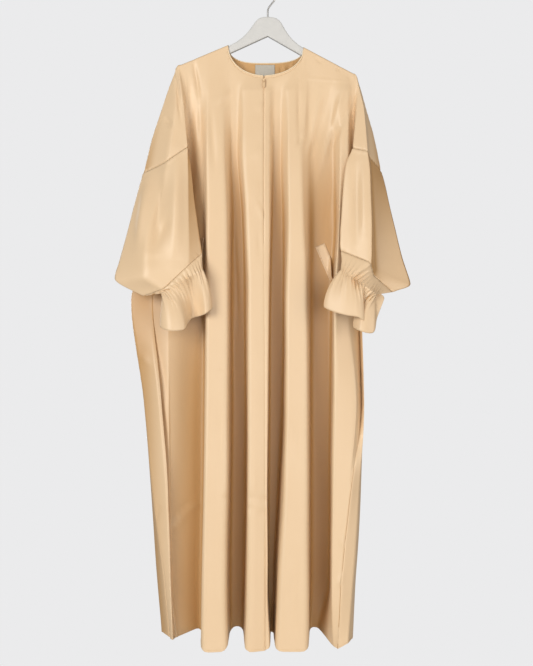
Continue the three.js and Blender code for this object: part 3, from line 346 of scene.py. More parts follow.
# Rows from the shoulder edge down to the hem, closer together over the shoulder and in the hem.
rows_per_level = 30
over_edge = (0, 0.3, 0.8, 1.6, 2.6, 3.8)
hem_start_level = 7.92
hem_row_step = 0.005
hem_row_count = 17
rows = [(0, below) for below in over_edge]
rows += [(k / rows_per_level, arch_span) for k in range(hem_level * rows_per_level - 3)]
rows += [(hem_start_level + hem_row_step * k, arch_span) for k in range(hem_row_count)]
upper_rows = [row for row in rows if row[0] <= armhole_level]
lower_rows = [row for row in rows if row[0] >= armhole_level]


def body_row(folds, part, level, below, facing):
    """A row of the body's cloth. In the hem, out is evened along x, which rounds the hem's corners."""
    controls = [fold_control(fold, level, facing) for fold in folds]
    fine = rounded(part, controls, level)
    if level > hem_level - 1:
        run = np.concatenate(([0], np.cumsum(np.abs(np.diff(fine[:, 0])) + 0.02)))
        near = np.exp(-((run[:, None] - run[None, :]) / hem_rounding) ** 2) * np.gradient(run)[None, :]
        fine[1:-1, 2] = ((near @ np.clip(fine[:, 2], 0, 1)) / near.sum(axis=1))[1:-1]
    return [body_point(x, depth, out, level, below, facing) for x, depth, out in fine]


def body_net(folds, part, facing, rows_used=rows):
    return np.array([body_row(folds, part, level, below, facing) for level, below in rows_used])


def fold_points(fold, facing, rows_used):
    """One fold line as a column of points."""
    return [body_point(*fold_control(fold, level, facing), level, below, facing)
            for level, below in rows_used]


def cap_net(caps, body_line, facing, part, is_body_first):
    """The cloth over the hanger's end, between a line of the body and the cap's edge."""
    beside = fold_points(body_line, facing, upper_rows)
    net = []
    for (level, below), point in zip(upper_rows, beside):
        controls = [cap_control(cap, level, below) for cap in caps]
        controls = [point, *controls] if is_body_first else [*controls, point]
        net.append(rounded(part, controls, level))
    return np.array(net)


# Columns of cloth from one line to the next.
front_columns = 8
back_columns = 6
front_cap_columns = 20
rear_cap_columns = 12
front_stretch_left = stretch(len(left_folds) + 1, front_columns, fine_start=True, fine_end=True)
front_stretch_right = stretch(len(right_folds) + 1, front_columns, fine_start=True, fine_end=True)
back_stretch = stretch(len(back_folds) - 1, back_columns)
wrap_stretch = stretch(2, back_columns)
front_cap_stretch = stretch(len(left_cap) - 1, front_cap_columns)
rear_cap_stretch = stretch(len(left_cap) - 2, rear_cap_columns)

fold_named = {fold.line: fold for fold in (*left_folds, *right_folds, *back_folds)}
side_left, flank_left = fold_named["side_left"], fold_named["flank_left"]
side_right, wrap_right = fold_named["side_right"], fold_named["wrap_right"]

zip_open_end = 229
zip_open_half = 2.6
zip_open_run = 11


def parted(net, side, column):
    """The front's edge at the top of the zip, drawn aside above the slider."""
    for row in net:
        row[column][0] += side * zip_open_half * clamp((zip_open_end + row[column][2]) / zip_open_run)
    return net


nets = [
    ("front_left", parted(body_net((join, *left_folds), front_stretch_left, -1), -1, 0)),
    ("front_left", cap_net(left_cap[:4], side_left, -1, front_cap_stretch, True)),
    ("back", cap_net(left_cap[3:], flank_left, 1, rear_cap_stretch, False)),
    ("back", body_net(back_folds[:-1], back_stretch, 1)),
    ("back", body_net(back_folds[-2:], wrap_stretch, 1)),
    ("back", cap_net(right_cap[3:][::-1], wrap_right, 1, rear_cap_stretch, True)),
    ("front_right", cap_net(right_cap[:4][::-1], side_right, -1, front_cap_stretch, False)),
    ("front_right", parted(body_net((*right_folds[::-1], join), front_stretch_right, -1), 1, -1)),
]


def strip_net(first, first_facing, second, second_facing, rows_used):
    """A straight strip of cloth between two fold lines."""
    start = np.array(fold_points(first, first_facing, rows_used))[:, None, :]
    end = np.array(fold_points(second, second_facing, rows_used))[:, None, :]
    share = np.array(wrap_stretch.places)[None, :, None]
    return start * (1 - share) + end * share


nets.append(("back", strip_net(side_left, -1, flank_left, 1, lower_rows)))
nets.append(("back", strip_net(wrap_right, 1, side_right, -1, lower_rows)))

# ---------------------------------------------------------------- sleeves
# Wide straight sleeves of the same satin, sewn to low armholes, that balloon out over the drawn-in
# cuffs. Each line runs from the armhole seam down to the cuff's seam.
sleeve_stations = tuple(range(7))
left_sleeve = (
    Cap("inner", (-179, -172, -163, -156, -152, -151), (454, 510, 565, 610, 632, 645),
        (-44, -51, -58, -64, -67, -69)),
    Cap("fold", (-188, -187, -186, -185, -185, -185), (465, 522, 580, 628, 656, 679),
        (-56, -69, -80, -88, -92, -95)),
    Cap("front", (-252, -266, -276, -281, -280, -240), (489, 548, 606, 660, 702, 733),
        (-60, -73, -84, -94, -100, -100)),
    Cap("edge", (-308, -320, -334, -350, -360, -288), (486, 535, 596, 661, 704, 748),
        (-8, -18, -28, -38, -48, -74)),
    Cap("rear", (-271, -285, -303, -324, -342, -283), (452, 511, 575, 643, 700, 742),
        (24, 16, 6, -6, -16, -48)),
    Cap("rear_inner", (-213, -224, -243, -270, -292, -245), (457, 521, 589, 652, 706, 722),
        (22, 12, 0, -16, -24, -52)),
    Cap("under_back", (-211, -221, -238, -258, -262, -215), (457, 519, 584, 646, 694, 700),
        (12, 3, -7, -20, -30, -56)),
    Cap("under_front", (-210, -218, -227, -236, -228, -180), (456, 516, 576, 632, 674, 676),
                       (-16, -16, -20, -28, -42, -58)),
)
right_sleeve = (
    Cap("inner", (180, 171, 166, 163, 163, 167), (439, 503, 556, 600, 622, 640),
        (-54, -60, -65, -70, -72, -73)),
    Cap("fold", (239, 240, 241, 240, 239, 237), (454, 512, 570, 618, 648, 670),
        (-70, -78, -86, -91, -93, -95)),
    Cap("front", (246, 248, 250, 251, 252, 248), (462, 522, 584, 642, 684, 700),
        (-38, -42, -48, -54, -62, -72)),
    Cap("edge", (282, 292, 305, 321, 338, 294), (481, 529, 585, 655, 716, 737),
        (-4, -8, -14, -20, -28, -50)),
    Cap("rear", (243, 257, 271, 290, 309, 285), (462, 521, 584, 652, 716, 736),
        (22, 18, 14, 8, 0, -30)),
    Cap("rear_inner", (213, 226, 238, 251, 262, 262), (457, 521, 585, 650, 705, 728),
        (22, 18, 13, 7, 0, -30)),
    Cap("under_back", (214, 226, 232, 236, 238, 235), (457, 520, 582, 640, 690, 712),
        (12, 8, 4, 0, -10, -40)),
    Cap("under_front", (214, 225, 229, 229, 217, 196), (455, 512, 568, 618, 655, 668),
                       (-14, -12, -13, -19, -36, -56)),
)
rows_per_station = 13
under_stretch = stretch(2, back_columns)


def sleeve_net(table, caps, front_line, back_line, order):
    """The closed tube of a sleeve; order gives its stretches, each from one sharp line to the next."""
    sleeve_named = {line.line: line for line in table}
    armhole = (armhole_level, arch_span)
    starts = {
        "under_front": fold_points(front_line, -1, [armhole])[0],
        "under_back": fold_points(back_line, 1, [armhole])[0],
        **{cap.line: cap_control(cap, *armhole) for cap in caps},
    }

    def control(name, at):
        start, line = starts[name], sleeve_named[name]
        return (through(sleeve_stations, (start[0], *line.x), at),
                through(sleeve_stations, (start[1], *line.y), at),
                -through(sleeve_stations, (-start[2], *line.drop), at))

    net = []
    for k in range(sleeve_stations[-1] * rows_per_station + 1):
        at = k / rows_per_station
        ring = [rounded(part, [control(name, at) for name in names]) for names, part in order]
        net.append(np.concatenate([ring[0], *(points[1:] for points in ring[1:])]))
    return np.array(net)


front_names = ("under_front", "inner", "fold", "front", "edge")
rear_names = ("edge", "rear", "rear_inner", "under_back")
under_names = ("under_back", "under_front")
left_sleeve_net = sleeve_net(left_sleeve, left_cap, side_left, flank_left, (
    (front_names, front_cap_stretch), (rear_names, rear_cap_stretch), (under_names, under_stretch)))
right_sleeve_net = sleeve_net(right_sleeve, right_cap, side_right, wrap_right, (
    (rear_names[::-1], rear_cap_stretch), (front_names[::-1], front_cap_stretch),
    (under_names[::-1], under_stretch)))
nets.append(("sleeve_left", left_sleeve_net))
nets.append(("sleeve_right", right_sleeve_net))

# ---------------------------------------------------------------- cuffs
# A panel of the same satin, seamed to the sleeve and drawn in by elastic at the wrist, that runs on
# into a waving ruffle with a narrow turned edge.
left_cuff = {
    "centre": (-198, -90, 714), "half": (45, 15, -26.5),
    "edge_x": (-129, -142, -159, -174, -183, -191, -222, -245, -245, -224, -195, -173, -146),
    "edge_drop": (774, 788, 794, 798, 810, 825, 828, 819, 805, 798, 793, 781, 765),
    "edge_y": (-82, -96, -80, -72, -92, -116, -122, -104, -80, -62, -70, -54, -68),
}
right_cuff = {
    "centre": (210, -92, 717), "half": (-39, 16, -27),
    "edge_x": (129, 151, 180, 205, 221, 203, 196, 212, 241, 252, 270, 257, 228, 192, 156),
    "edge_drop": (772, 785, 793, 797, 806, 798, 817, 829, 832, 798, 752, 770, 784, 775, 763),
    "edge_y": (-96, -112, -122, -124, -112, -92, -94, -116, -108, -92, -76, -66, -72, -66, -72),
}
gathers = 31
gather_depth = 4.2
ruffle_waves = 9
ruffle_wave_depth = 3.5
panel_rows = 16
ruffle_rows = 26
even_share = 0.3
least_step = 0.004
seam_half_width = 62
seam_half_depth = 26


def closed_curve(points, share):
    """A point on a centripetal curve that closes through all the points."""
    count = len(points)
    place = (share % 1) * count
    k = int(place) % count
    p0, p1, p2, p3 = (Vector(points[(k + n) % count]) for n in (-1, 0, 1, 2))
    gap = [max(math.sqrt((b - a).length), 1e-4) for a, b in ((p0, p1), (p1, p2), (p2, p3))]
    t0 = ((p1 - p0) / gap[0] - (p2 - p0) / (gap[0] + gap[1]) + (p2 - p1) / gap[1]) * gap[1]
    t1 = ((p2 - p1) / gap[1] - (p3 - p1) / (gap[1] + gap[2]) + (p3 - p2) / gap[2]) * gap[1]
    u = place - int(place)
    return (p1 * (1 - u * u * (3 - 2 * u)) + p2 * u * u * (3 - 2 * u)
            + t0 * u * (1 - u) ** 2 - t1 * u * u * (1 - u))


def cuff_net(cuff, seam_ring, turn):
    """The closed cuff, from the sleeve's last ring to the ruffle's edge; turn is the way round."""
    ring_points = [Vector(point) for point in seam_ring[:-1]]
    seam = []
    for k, point in enumerate(ring_points):
        seam += [point, point.lerp(ring_points[(k + 1) % len(ring_points)], 0.5)]
    count = len(seam)
    centre = Vector((cuff["centre"][0], cuff["centre"][1], -cuff["centre"][2]))
    inward = Vector((cuff["half"][0], 0, -cuff["half"][2]))
    middle = sum(seam, Vector()) / count
    along = inward.normalized()
    angles = [math.atan2(-(point - middle).y / seam_half_depth,
                         (point - middle).dot(along) / seam_half_width) for point in seam]
    # Each column keeps most of its own direction round the wrist, and is evened out a little.
    unwrapped = [angles[0]]
    for before, after in zip(angles, angles[1:]):
        step = ((after - before) * turn + math.pi) % (2 * math.pi) - math.pi
        unwrapped.append(unwrapped[-1] + turn * max(step, least_step))
    ring_angle = [mix(own, angles[0] + turn * 2 * math.pi * c / count, even_share)
                  for c, own in enumerate(unwrapped)]
    edge_points = list(zip(cuff["edge_x"], cuff["edge_y"], [-drop for drop in cuff["edge_drop"]]))

    def gather(c):
        """The drawn-up cloth's wave: sharp outer folds, and an uneven height."""
        share = ring_angle[c] / (2 * math.pi)
        height = 0.75 + 0.3 * math.sin(2 * math.pi * 5 * share + 1)
        height += 0.2 * math.sin(2 * math.pi * 11 * share)
        return height * (1 - 2 * abs(math.sin(math.pi * gathers * share)) ** 0.8)

    def ruffle_wave(c):
        return math.sin(ruffle_waves * ring_angle[c] + 1.3 * math.sin(2 * ring_angle[c]))

    def ring_point(c, depth, wave=0):
        ripple = depth * gather(c) + wave * ruffle_wave(c)
        grow = 1 + ripple / inward.length
        return (centre + inward * math.cos(ring_angle[c]) * grow
                + Vector((0, -math.sin(ring_angle[c]) * (cuff["half"][1] + ripple), 0)))

    net = []
    for r in range(panel_rows + 1):
        share = (r / panel_rows) ** 0.8
        depth = gather_depth * share ** 0.7
        net.append([seam[c].lerp(ring_point(c, depth), share) for c in range(count)])
    edge = [closed_curve(edge_points, ring_angle[c] / (2 * math.pi)) for c in range(count)]
    for r in range(1, ruffle_rows + 1):
        share = r / ruffle_rows
        spread = math.sin(share * math.pi / 2) ** 0.8
        wave = ruffle_wave_depth * math.sin(math.pi * share ** 0.7) * (1 - 0.4 * share)
        row = []
        for c in range(count):
            ring = ring_point(c, gather_depth * (1 - share) ** 1.2, wave)
            row.append(Vector((mix(ring.x, edge[c].x, spread), mix(ring.y, edge[c].y, spread),
                               mix(ring.z, edge[c].z, share))))
        net.append(row)
    return np.array([[tuple(point) for point in (*row, row[0])] for row in net])


nets.append(("cuff_left", cuff_net(left_cuff, left_sleeve_net[-1], 1)))
nets.append(("cuff_right", cuff_net(right_cuff, right_sleeve_net[-1], -1)))

# ---------------------------------------------------------------- creases and seams in the cloth
# Press creases, drag lines from the hanger's ends and puckers beside the zip: x and drop of both ends,
# the width of the crease, and how far it stands out or, below zero, in. The lockstitched seams draw the
# cloth in along a fine groove and pucker it beside them.
Crease = namedtuple("Crease", "x1 drop1 x2 drop2 width height")
creases = (
    Crease(-178, 178, -163, 281, 5, -3), Crease(-163, 281, -160, 390, 6, -2.5),
    Crease(-135, 290, -125, 460, 6, -2.5), Crease(-85, 250, -133, 292, 7, 1.2),
    Crease(-114, 307, -92, 262, 6, -1), Crease(-223, 206, -205, 337, 3.5, -2.4),
    Crease(-214, 198, -200, 300, 3, 2.2), Crease(-14, 281, -23, 309, 4, 1.4),
    Crease(-18, 388, -36, 426, 6, 1.6), Crease(-22, 470, -36, 530, 6, 1.6),
    Crease(-26, 520, -13, 562, 4, 1.8), Crease(-19, 590, -19, 660, 4, -1.2),
    Crease(74, 225, 76, 395, 5, -2.6), Crease(93, 220, 86, 380, 5, 1.8),
    Crease(128, 250, 92, 420, 6, 2.4), Crease(152, 232, 103, 410, 6, -2.4),
    Crease(188, 228, 118, 465, 6, 2.6), Crease(203, 270, 146, 405, 6, -2.2),
    Crease(127, 172, 119, 188, 3, -1.6), Crease(174, 193, 164, 209, 3, -1.6),
    Crease(82, 362, 71, 388, 3, -2.5), Crease(77, 223, 196, 233, 3, 0.5),
    Crease(-82, 560, -70, 826, 9, -2), Crease(152, 472, 137, 614, 7, -1.6),
    Crease(-112, 964, -106, 1230, 5, -1.8), Crease(-101, 987, -99, 1149, 4, 1.2),
    Crease(61, 1040, 50, 1160, 5, -1.8), Crease(60, 1330, 58, 1556, 4, -1.8),
    Crease(-118, 915, -97, 909, 5, -1.6), Crease(-107, 1220, -88, 1206, 5, -1.7),
    Crease(-48, 1211, -20, 1218, 5, -1.9), Crease(-20, 1218, 1, 1216, 5, -1.9),
    Crease(-48, 1228, -27, 1246, 5, -2.1), Crease(-27, 1246, 1, 1253, 5, -2.1),
    Crease(-48, 1206, -25, 1172, 3, 1), Crease(65, 914, 89, 909, 3, -1),
    Crease(-233, 1299, -190, 1255, 6, 2), Crease(-190, 1255, -160, 1240, 6, 2),
    Crease(-229, 1280, -186, 1227, 4, -1), Crease(-268, 861, -235, 1062, 5, 2),
    Crease(-303, 885, -279, 909, 7, 1.6), Crease(-256, 1230, -263, 1278, 4, -1.4),
    Crease(169, 1300, 175, 1330, 6, 1.5), Crease(171, 1380, 160, 1420, 5, 1.8),
    Crease(-211, 400, -214, 680, 17, 8), Crease(-255, 440, -262, 660, 18, -8),
    Crease(-287, 470, -302, 640, 12, 4),
    Crease(-262, 640, -232, 560, 10, -2.5), Crease(-250, 315, -226, 345, 6, -2.5),
    Crease(206, 420, 205, 640, 9, -3.5), Crease(224, 430, 224, 610, 8, 2.5),
)
back_creases = (
    Crease(30, 188, 34, 214, 2.5, 1.6), Crease(39, 186, 44, 222, 2.5, -1.8),
    Crease(49, 184, 53, 216, 2.5, 1.7), Crease(58, 180, 66, 214, 3, -1.7),
    Crease(-60, 184, -64, 214, 4, 1.2), Crease(-75, 178, -82, 204, 4, -1.2),
)
crease_strength = 1.6
seam_groove = 0.9
seam_width = 1.8
zip_groove = 2.2
zip_half = 6
zip_end = 628
drape_height = 1.3
drape_pitch = (55, 90, 160)
drape_seam_gap = 20
drape_start = 200
drape_run = 150
pucker_start = 240
pucker_height = 1.1
pucker_reach = 9
pucker_pitch = 5
fine_pucker_pitch = 2.5
allowance = {"height": 0.9, "middle": 4.5, "width": 2.6}
hem_pucker = 1.1
hem_pucker_pitch = 9
hem_pucker_reach = 40
hem_slack = 16


def crease_relief(creases, points, facing_share):
    """How far the creases move each point, where facing_share is above zero."""
    x, drop = points[:, 0], -points[:, 2]
    move = np.zeros(len(points))
    for crease in creases:
        start = np.array((crease.x1, crease.drop1))
        along = np.array((crease.x2, crease.drop2)) - start
        length = np.hypot(*along)
        along = along / length
        run = (x - start[0]) * along[0] + (drop - start[1]) * along[1]
        aside = (x - start[0]) * along[1] - (drop - start[1]) * along[0]
        share = np.clip(run / length, 0, 1)
        fade = np.exp(-((run - share * length) / crease.width) ** 2)
        fade = fade * np.sin(np.pi * np.clip(share, 0.05, 0.95))
        move += crease_strength * crease.height * fade * np.exp(-(aside / crease.width) ** 2)
    return move * np.clip(facing_share, 0, 1)


bm_cloth = bmesh.new()
cloth_uv = bm_cloth.loops.layers.uv.new("cloth")
panel_names = ("front_left", "front_right", "back", "sleeve_left", "sleeve_right",
               "cuff_left", "cuff_right")
panel_tag = bm_cloth.faces.layers.int.new("panel")


def grid_of(bm, net, uv_layer):
    """A grid with the net's points, and a flat map in metres along its rows and columns."""
    count_rows, count_columns = net.shape[0] - 1, net.shape[1] - 1
    made = bmesh.ops.create_grid(bm, x_segments=count_columns, y_segments=count_rows, size=0.5)
    across_steps = np.linalg.norm(np.diff(net, axis=1), axis=2).mean(axis=0)
    down_steps = np.linalg.norm(np.diff(net, axis=0), axis=2).mean(axis=1)
    across = np.concatenate(([0], np.cumsum(across_steps)))
    down = np.concatenate(([0], np.cumsum(down_steps)))
    flat = {}
    for vert in made["verts"]:
        c = round((vert.co.x + 0.5) * count_columns)
        r = round((0.5 - vert.co.y) * count_rows)
        vert.co = net[r, c]
        flat[vert] = (across[c] * MM, -down[r] * MM)
    faces = {face for vert in made["verts"] for face in vert.link_faces}
    for face in faces:
        for loop in face.loops:
            loop[uv_layer].uv = flat[loop.vert]
    return faces


seam_merge = 0.01
for panel, net in nets:
    for face in grid_of(bm_cloth, net, cloth_uv):
        face[panel_tag] = panel_names.index(panel)
bmesh.ops.remove_doubles(bm_cloth, verts=bm_cloth.verts, dist=seam_merge)
bmesh.ops.reverse_faces(bm_cloth, faces=bm_cloth.faces)
bm_cloth.normal_update()

points = np.array([vert.co for vert in bm_cloth.verts])
normals = np.array([vert.normal for vert in bm_cloth.verts])
move = crease_relief(creases, points, -normals[:, 1] * 2)
move = move + crease_relief(back_creases, points, normals[:, 1] * 2)


def panels_at(vert):
    """The kinds of panel that meet at a point: front, back, sleeve or cuff."""
    return {panel_names[face[panel_tag]].split("_")[0] for face in vert.link_faces}


def seam_points(sewn):
    """A tree of the points where pieces of the given kinds meet."""
    found = [vert for vert in bm_cloth.verts if sewn <= panels_at(vert)
             and len({face[panel_tag] for face in vert.link_faces}) > 1]
    tree = KDTree(len(found))
    for k, vert in enumerate(found):
        tree.insert(vert.co, k)
    tree.balance()
    return tree


all_seams = seam_points(set())
armhole_seams = seam_points({"front", "sleeve"})
puckered_seams = (
    (armhole_seams, 1), (seam_points({"cuff", "sleeve"}), 1.2),
    (seam_points({"back", "sleeve"}), 1), (seam_points({"front", "back"}), 0.6),
)
for k, vert in enumerate(bm_cloth.verts):
    x, y, drop = vert.co.x, vert.co.y, -vert.co.z
    gap = all_seams.find(vert.co)[2]
    is_on_zip = abs(x - centre_front) < zip_half and y < 0 and drop < zip_end
    move[k] -= (zip_groove if is_on_zip else seam_groove) * math.exp(-(gap / seam_width) ** 2)
    if drop > pucker_start:
        for tree, share in puckered_seams:
            near, _, gap = tree.find(vert.co)
            if gap < 3 * pucker_reach:
                pucker = noise.noise(near / pucker_pitch) + 0.5 * noise.noise(near / fine_pucker_pitch)
                move[k] += share * pucker_height * pucker * math.exp(-(gap / pucker_reach) ** 2)
                if tree is armhole_seams and "sleeve" in panels_at(vert):
                    aside = (gap - allowance["middle"]) / allowance["width"]
                    move[k] += allowance["height"] * math.exp(-aside ** 2)
    hang = noise.noise(Vector((x / drape_pitch[0], y / drape_pitch[1], drop / drape_pitch[2])))
    sway = drape_height * hang * clamp(gap / drape_seam_gap)
    move[k] += sway * clamp((drop - drape_start) / drape_run)
    above_hem = level_drop[hem_level] - drop + hem_slack
    if above_hem < hem_pucker_reach:
        ripple = noise.noise(Vector((x / hem_pucker_pitch, y / hem_pucker_pitch, 0)))
        move[k] += hem_pucker * ripple * clamp(1 - above_hem / hem_pucker_reach)
for vert, distance, normal in zip(bm_cloth.verts, move, normals):
    vert.co += Vector(normal) * float(distance)

# Painted shade: how deep in a fold each point lies, from 0 on a ridge to 1 in a full hollow. The satin's
# colour is darkened by it towards a deeper tan, which stands in for the shade at the bottom of a deep
# fold.
painted_shade_depth = 48
front_back_split = 10
sleeve_painted_shade = 1.1
painted_fold_shade = bm_cloth.verts.layers.float.new("painted_fold_shade")
for vert in bm_cloth.verts:
    level = float(np.interp(-vert.co.z, level_drop, levels))
    is_front = vert.co.y < front_back_split
    ridge, hollow = (front_ridge, front_hollow) if is_front else (back_ridge, back_hollow)
    outer, inner = through(levels, ridge, level), through(levels, hollow, level)
    panel_here = panel_names[vert.link_faces[0][panel_tag]]
    # Painted shade: the sleeves' side that faces right, away from the window, is painted darker.
    if panel_here.startswith("sleeve"):
        vert[painted_fold_shade] = clamp(sleeve_painted_shade * vert.normal.x)
    if panel_here.startswith(("front", "back")):
        sunk = clamp((outer - abs(vert.co.y)) / (outer - inner))
        vert[painted_fold_shade] = sunk * clamp((outer - inner) / painted_shade_depth)

# ---------------------------------------------------------------- satin
# Polyester satin, woven with long smooth floats of yarn that give a soft glow along the folds. The panels
# are cut with the floats outside, so the duller reverse shows inside the neck and the hem. The satin's
# colour is painted darker in deep folds and on the sleeves' right-hand sides, and the reverse is painted
# darker
# too: both are painted shade.


def linear(hex_colour):
    """An sRGB hex colour as linear RGBA."""
    channels = [int(hex_colour[k:k + 2], 16) / 255 for k in (1, 3, 5)]
    return (*(c / 12.92 if c <= 0.04045 else ((c + 0.055) / 1.055) ** 2.4 for c in channels), 1)


def feed(node, links):
    """Feeds a node's inputs, by name or number, from the sockets of other nodes."""
    for place, socket in links.items():
        node.id_data.links.new(socket, node.inputs[place])


def add_node(material, kind, settings=None, **links):
    """Adds a node. Settings are its properties and inputs, and links its inputs fed by other sockets."""
    node = material.node_tree.nodes.new(kind)
    for name, value in (settings or {}).items():
        if isinstance(name, str) and hasattr(node, name):
            setattr(node, name, value)
        else:
            node.inputs[name].default_value = value
    feed(node, links)
    return node


def surface(name, colour, roughness, **sockets):
    """A material with its shader's constant values set on the sockets themselves."""
    material = bpy.data.materials.new(name)
    material.use_nodes = True
    shader = material.node_tree.nodes["Principled BSDF"]
    shader.inputs["Base Color"].default_value = linear(colour)
    shader.inputs["Roughness"].default_value = roughness
    for socket, value in sockets.items():
        shader.inputs[socket.replace("_", " ")].default_value = value
    return material, shader


# The colour sockets of a Mix node, which share their names with its number sockets.
colour_a, colour_b, mixed = 6, 7, 2

satin_colour = "#e4caa8"
satin_shade = "#e0c4a0"
# Painted shade: the deeper tan that the satin turns to in deep folds and on the sleeves' right-hand sides.
painted_hollow_shade = "#c09866"
# The yarns are 0.15 mm apart, too fine to show, so the weave is drawn eight times as coarse. Its floats
# vary over 1 by 17 mm, and the dye over 110 mm.
yarn_pitch = 1.2 * MM
wave_scale = 0.3 / (2 * math.pi * yarn_pitch)
satin, shader = surface("polyester_satin", satin_colour, 0.5, Sheen_Weight=0.15, Sheen_Roughness=0.4)
shader.inputs["Sheen Tint"].default_value = linear("#fff1d8")
flat_map = add_node(satin, "ShaderNodeUVMap", {"uv_map": "cloth"})
slub = add_node(satin, "ShaderNodeMapping", {"Scale": (900, 60, 1)}, Vector=flat_map.outputs["UV"])
slub_noise = add_node(satin, "ShaderNodeTexNoise", {"Scale": 1, "Detail": 3},
                      Vector=slub.outputs["Vector"])
cloud = add_node(satin, "ShaderNodeTexNoise", {"Scale": 9, "Detail": 2}, Vector=flat_map.outputs["UV"])
tone = add_node(
    satin, "ShaderNodeMix",
    {"data_type": "RGBA", colour_a: linear(satin_shade), colour_b: linear(satin_colour)},
    Factor=cloud.outputs["Fac"])
# Painted shade: the colour is mixed towards the painted hollow shade by how deep in a fold a point lies.
fold = add_node(satin, "ShaderNodeAttribute", {"attribute_name": "painted_fold_shade"})
painted_shade_ramp = add_node(
    satin, "ShaderNodeMapRange",
    {"interpolation_type": "SMOOTHSTEP", "From Min": 0.3, "From Max": 0.95},
    Value=fold.outputs["Fac"])
painted_shade_mix = add_node(
    satin, "ShaderNodeMix", {"data_type": "RGBA", colour_b: linear(painted_hollow_shade)},
    Factor=painted_shade_ramp.outputs["Result"])
gloss = add_node(satin, "ShaderNodeMapRange", {"To Min": 0.36, "To Max": 0.46},
                 Value=slub_noise.outputs["Fac"])
weave = add_node(satin, "ShaderNodeTexWave", {"Scale": wave_scale, "bands_direction": "DIAGONAL"},
                 Vector=flat_map.outputs["UV"])
relief = add_node(satin, "ShaderNodeMath", {"operation": "ADD"})
bump = add_node(satin, "ShaderNodeBump", {"Strength": 0.06, "Distance": 0.0004},
                Height=relief.outputs["Value"])
feed(painted_shade_mix, {colour_a: tone.outputs[mixed]})
feed(relief, {0: weave.outputs["Fac"], 1: slub_noise.outputs["Fac"]})
feed(shader, {"Base Color": painted_shade_mix.outputs[mixed], "Roughness": gloss.outputs["Result"],
              "Normal": bump.outputs["Normal"]})

# The reverse of satin has no floats: it is duller, and painted darker and deeper in colour as shade inside
# the neck and the hem.
reverse_painted_shade, shader = surface("satin_reverse_painted_shade", "#c59b66", 0.62)
flat_map = add_node(reverse_painted_shade, "ShaderNodeUVMap", {"uv_map": "cloth"})
slub = add_node(reverse_painted_shade, "ShaderNodeMapping", {"Scale": (60, 900, 1)}, Vector=flat_map.outputs["UV"])
grain = add_node(reverse_painted_shade, "ShaderNodeTexNoise", {"Scale": 1, "Detail": 3},
                 Vector=slub.outputs["Vector"])
tone = add_node(
    reverse_painted_shade, "ShaderNodeMix",
    {"data_type": "RGBA", colour_a: linear("#bd925c"), colour_b: linear("#cfa672")},
    Factor=grain.outputs["Fac"])
feed(shader, {"Base Color": tone.outputs[mixed]})

cloth_wall = 0.7 * MM


def piece(name, bm, material, thickness=0):
    """A bmesh in millimetres as a piece of the garment, in metres."""
    bmesh.ops.scale(bm, vec=(MM, MM, MM), verts=bm.verts)
    mesh = bpy.data.meshes.new(name)
    bm.to_mesh(mesh)
    mesh.shade_smooth()
    obj = bpy.data.objects.new(name, mesh)
    scene.collection.objects.link(obj)
    mesh.materials.append(material)
    if thickness:
        solidify = obj.modifiers.new("wall", "SOLIDIFY")
        solidify.thickness = thickness
        solidify.offset = -1
    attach(obj, "garment")
    return obj


def panel_piece(name):
    """One cut panel of the whole cloth, with its reverse, painted darker as shade, on the inner side of
    its wall.
    """
    bm = bm_cloth.copy()
    tag = bm.faces.layers.int["panel"]
    others = [face for face in bm.faces if face[tag] != panel_names.index(name)]
    bmesh.ops.delete(bm, geom=others, context="FACES")
    obj = piece(f"{name}_satin", bm, satin, cloth_wall)
    obj.data.materials.append(reverse_painted_shade)
    obj.modifiers["wall"].material_offset = 1
    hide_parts(name)
    bm.free()
    return obj


panels = {name: panel_piece(name) for name in panel_names}

# ---------------------------------------------------------------- neck binding
# A narrow bias strip of the same satin, folded over the neck edge and sewn down, so that it stands as a
# small roll from one side of the zip round to the other. Its paler colour is a painted highlight along the
# roll.
bm_body = bm_cloth.copy()
body_tag = bm_body.faces.layers.int["panel"]
arms = [face for face in bm_body.faces if panel_names[face[body_tag]].startswith(("sleeve", "cuff"))]
bmesh.ops.delete(bm_body, geom=arms, context="FACES")
body_tree = BVHTree.FromBMesh(bm_body)
ray_start = 400
bar_merge = 0.002


def cloth_depth(x, drop, facing=-1, reach=0):
    """The y of the cloth's outer face; with reach, the proudest of the points that far around."""
    found = []
    for dx, dz in ((0, 0), (reach, 0), (-reach, 0), (0, reach), (0, -reach)):
        start = Vector((x + dx, facing * ray_start, -drop + dz))
        hit = body_tree.ray_cast(start, Vector((0, -facing, 0)))[0]
        if hit:
            found.append(facing * hit.y)
    return facing * max(found) if found else None


def evened(path, pitch, rounds=2):
    """The path with its points evenly spaced and its corners eased."""
    points = np.array([tuple(point) for point in path])
    for _ in range(rounds):
        run = np.concatenate(([0], np.cumsum(np.linalg.norm(np.diff(points, axis=0), axis=1))))
        places = np.linspace(0, run[-1], max(3, round(run[-1] / pitch) + 1))
        points = np.stack([np.interp(places, run, points[:, k]) for k in range(3)], axis=1)
        points[1:-1] = points[1:-1] * 0.5 + (points[:-2] + points[2:]) * 0.25
    return [Vector(point) for point in points]


def swept(path, half_side, half_top, up, around=10):
    """A round bar along the path, closed at both ends, as a net."""
    net = []
    last = len(path) - 1
    for k, point in enumerate(path):
        tangent = (path[min(k + 1, last)] - path[max(k - 1, 0)]).normalized()
        side = tangent.cross(up).normalized()
        top = side.cross(tangent)
        ring = []
        for c in range(around + 1):
            angle = 2 * math.pi * c / around
            ring.append(point + side * math.cos(angle) * half_side + top * math.sin(angle) * half_top)
        net.append([tuple(place) for place in ring])
    return np.array([[tuple(path[0])] * (around + 1), *net, [tuple(path[-1])] * (around + 1)])


